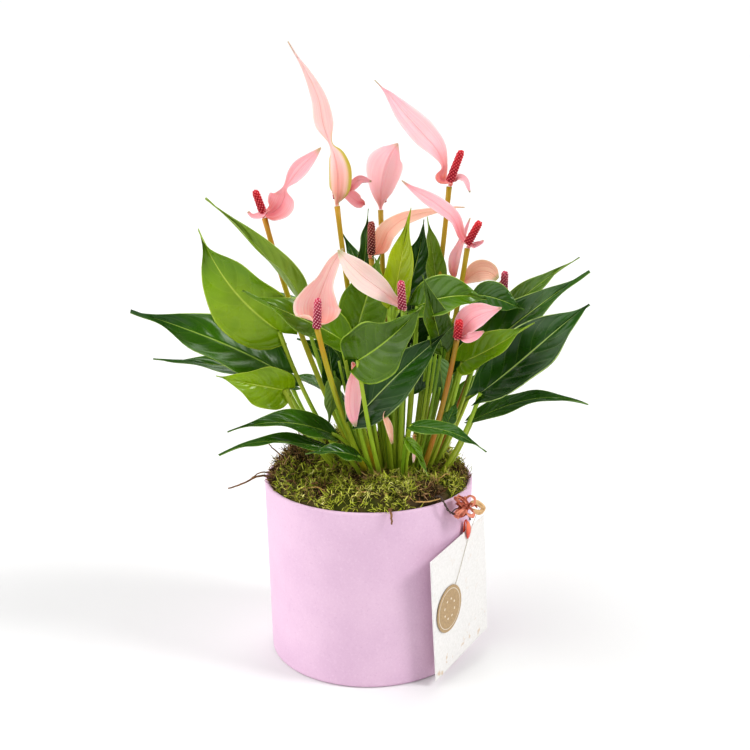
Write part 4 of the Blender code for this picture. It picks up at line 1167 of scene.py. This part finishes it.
FLOWERS = (
    # number, top of the stem, rows of x, y, z, width and half turn, face, spadix, look, stem look, more
    (1, (-67, 8, 296), ((-62, 10, 299, 15, 60), (-57, 11, 303, 20, 42), (-54, 10, 309, 19, 35),
     (-53, 8, 315, 4.5, 50), (-48, 7, 322, 10, 25), (-43, 7, 328, 12, 20), (-36, 7, 335, 7, 15),
     (-30, 8, 341, 0.8, 5)), (-0.30, -0.92, 0.25), ((-67, 3, 299), (-72, 0, 315)), "rose", "olive",
     dict(flare=2)),
    (2, (-20, 5, 304), ((-19, -3, 313, 17, 78), (-19, -4, 326, 21, 82), (-21, -2, 337, 13, 60),
     (-24, 1, 344, 3.5, 40), (-28, 1, 356, 13.5, 25), (-31, 0, 372, 10.5, 20), (-38, -2, 388, 4.5, 15),
     (-43, -3, 396, 1.6, 10), (-49, -5, 406, 0.7, 5)), (0.15, 0.98, 0.1), ((-20, 7, 309), (-22, 9, 327)),
     "green_cup", "olive", dict(flare=2, fold=6)),
    (3, (8, 25, 299), ((8, 19, 307, 18, 62), (9, 15, 317, 30, 55), (11, 14, 327, 33, 48),
     (14, 14, 335, 23, 40), (17, 16, 340, 8, 25), (19, 17, 343, 0.8, 10)), (0, 1, 0.1),
     ((9, 27, 304), (13, 31, 321)), "pink", "olive", dict(flare=0, fold=16)),
    (4, (52, 10, 316), ((46, 11, 321, 11, 60), (48, 9, 329, 6, 50), (43, 7, 340, 16, 30),
     (34, 5, 350, 21, 24), (23, 2, 362, 16, 20), (14, 0, 373, 6.5, 15), (9, -2, 378, 1.4, 10),
     (4, -4, 383, 0.7, 5)), (0.42, -0.78, 0.45), ((52, 5, 320), (59, 0, 340)), "pink", "olive",
     dict(flare=5)),
    (5, (64, 4, 277), ((59, 4, 285, 9, 55), (54, 0, 297, 12, 40), (44, -3, 306, 12, 28), (35, -5, 312, 9, 20),
     (27, -7, 317, 4, 12), (21, -9, 322, 0.8, 5)), (0.45, -0.72, 0.55), ((64, 0, 281), (71, -6, 296)), "rose",
     "olive", dict(flare=4)),
    (6, (2, 10, 269), ((8, 13, 275, 17, 58), (13, 13, 286, 16, 45), (22, 13, 294, 11, 30),
     (34, 14, 298, 7.5, 20), (46, 16, 300, 4, 12), (56, 18, 301.5, 1.4, 8), (63, 20, 301.5, 0.7, 5)),
     (-0.45, -0.75, 0.5), ((2, 6, 273), (2, 1, 295)), "peach", "olive", dict(flare=4)),
    (7, (-31, -50, 236), ((-31, -44, 240, 25, 48), (-31, -40, 248, 31, 50), (-29, -41, 257, 22, 48),
     (-26, -42, 265, 12.5, 45), (-21, -44, 276, 8, 35), (-15, -45, 285, 0.8, 10)), (0, -1, 0.1),
     ((-31, -55, 238), (-30, -58, 257)), "pale", "olive", dict(flare=6, fold=-4)),
    (8, (22, -40, 245), ((15, -42, 253, 7, 45), (7, -45, 260, 14, 25), (-2, -47, 267, 17, 20),
     (-9, -49, 274, 14, 20), (-15, -50, 281, 6, 12), (-18, -50, 285, 0.8, 5)), (-0.15, -0.9, 0.42),
     ((21, -46, 248), (20, -49, 266)), "blush", "petiole", dict(flare=4, fold=5)),
    (9, (55, -42, 227), ((59, -42, 234, 15, 60), (64, -45, 241, 19, 42), (70, -48, 245, 15, 32),
     (76, -52, 248, 6, 22), (81, -55, 250.5, 0.8, 10)), (-0.35, -0.85, 0.45),
     ((55, -47, 230), (56, -50, 242)), "rose", "red_stalk", dict(flare=5)),
)
BUDS = (
    # number, top of the stem, way the spathe starts, rows, face, look, stem look and habit
    (1, (82, 20, 240), (0.2, 0, 1), ((86, 20, 243, 13, 88), (89, 20, 249, 12, 88), (90, 18, 253, 4, 60)),
     (-0.3, -0.9, 0.3), "green_cup", "red_stalk", UPRIGHT),
    (2, (61, 22, 248), (0.3, -0.1, 1), ((66, 21, 254, 9, 50), (73, 18, 259, 16, 28), (80, 15, 259, 13, 24),
     (85, 13, 255, 3, 20)), (-0.2, -0.85, 0.5), "peach", "olive", UPRIGHT),
    (3, (56, 10, 256), (0.1, 0, 1), ((56, 8, 263, 8, 75), (57, 7, 271, 9, 60), (60, 7, 280, 5, 40),
     (66, 10, 296, 0.8, 20)), (-0.3, -0.9, 0.3), "pink", "olive", UPRIGHT),
    (4, (-10, -36, 208), (0, -0.4, 1), ((-9, -41, 206, 7, 60), (-11, -42, 198, 15, 72),
     (-12, -42, 188, 16, 76), (-11, -42, 179, 12, 76), (-8, -43, 171, 1.5, 60)), (0.55, -0.8, 0), "pink",
     "olive", UPRIGHT),
    (5, (10, -43, 178), (0, -0.5, 1), ((10, -46, 178, 5, 70), (12, -46.5, 171, 8, 85), (15, -47, 161, 2, 60)),
     (0.7, -0.6, 0), "peach", "petiole", LOW),
    (6, (28, -58, 168), (0, -0.5, 1), ((28, -60.5, 167, 4, 70), (28, -61, 162, 5.5, 85),
     (28, -62, 154, 1.5, 60)), (0.7, -0.6, 0), "green_cup", "petiole", LOW),
)
SPADIX_LOOKS = {6: "brown_spike", 7: "maroon", 8: "maroon"}
CURLS = (
    # the small back-turned lobes: name, start, way it starts, rows, face, look
    ("hood_curl_1", (-63, 2, 302), (-0.8, -0.3, -0.3), ((-69, 0, 298.5, 6, 45), (-74, 0, 298, 4.5, 60),
     (-77, 1, 301, 2, 60)), (0.1, -0.6, 0.8), "rose"),
    ("hood_curl_3", (-3, 22, 302), (-0.4, 0, 1), ((-7, 19, 305, 9, 40), (-13, 16, 310, 9, 35),
     (-19, 15, 313, 1, 10)), (0.4, -0.8, 0.3), "rose"),
    ("hood_curl_31", (-12, 16, 312), (0.3, 0, 1), ((-10, 15, 316, 6, 30), (-5, 14, 320, 6, 30),
     (2, 13, 319, 1, 10)), (0.1, -0.9, 0.3), "rose"),
    ("hood_curl_4", (53, 8, 319), (0.8, -0.2, 0.4), ((58, 6, 322, 6, 50), (62, 5, 320, 5, 40),
     (65, 4, 313, 1, 20)), (0.2, -0.7, 0.7), "pink"),
    ("hood_curl_5", (65, 2, 279), (0.8, -0.2, 0.1), ((68, 1, 279, 5, 50), (72, 0, 281, 3.5, 40),
     (74, 0, 283, 1, 20)), (0.1, -0.7, 0.7), "rose"),
    ("hood_curl_9", (56, -46, 229), (0.8, -0.3, 0.1), ((61, -50, 230, 7, 40), (66, -51, 232, 6, 30),
     (71, -51, 235, 1, 20)), (0.1, -0.8, 0.6), "rose"),
)


def grow_flowers():
    """The flowers: stem, spathe and spadix, then the buds and small lobes that only show here."""
    for number, top, rows, face, spike, look, stalk, more in FLOWERS:
        node = "flower_%d" % number
        top = np.array(top, float)
        path = stem_path(top, count=22)
        reach = np.linspace(0, 1, len(path))
        parts = Parts()
        tube(parts, path, 1.85 - 0.2 * reach + 0.25 * np.exp(-((reach - 1) / 0.03) ** 2), sides=12)
        parts.finish(node + "_stalk", [LOOKS[stalk]], node + "_stem")
        make_spathe(node + "_hood", top, path[-1] - path[-2], rows, face, look, node + "_spathe",
                    phase=number, **more)
        make_spadix(node + "_spike", spike[0], spike[1], 2.3, SPADIX_LOOKS.get(number, "crimson"),
                    node + "_spadix")
    for number, top, along, rows, face, look, stalk, habit in BUDS:
        make_petiole("late_stem_%d" % number, top, 1.35, 1.0, stalk, habit)
        make_spathe("late_hood_%d" % number, np.array(top, float), along, rows, face, look, flare=1, wave=0.2)
    make_spadix("late_spike_1", (90, 19, 247), (90, 14, 260), 2.3, "maroon")
    for name, start, along, rows, face, look in CURLS:
        make_spathe(name, np.array(start, float), along, rows, face, look, flare=0, wave=0.2, neck=(2.4, 3.6))


add_camera()
add_studio()
make_pot()
make_moss()
make_bits()
make_card()
make_ties()
grow_leaves()
grow_flowers()
for node, *look in (
    ("grow_pot", "nursery_plastic", (0.015, 0.015, 0.016), (0.03, 0.03, 0.031), 400.0, 0.5, 0.1),
    ("potting_soil", "peat_soil", (0.012, 0.007, 0.004), (0.07, 0.045, 0.028), 220.0, 0.9, 0.8),
):
    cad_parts[node].material_slots[0].material = grain_material(*look)
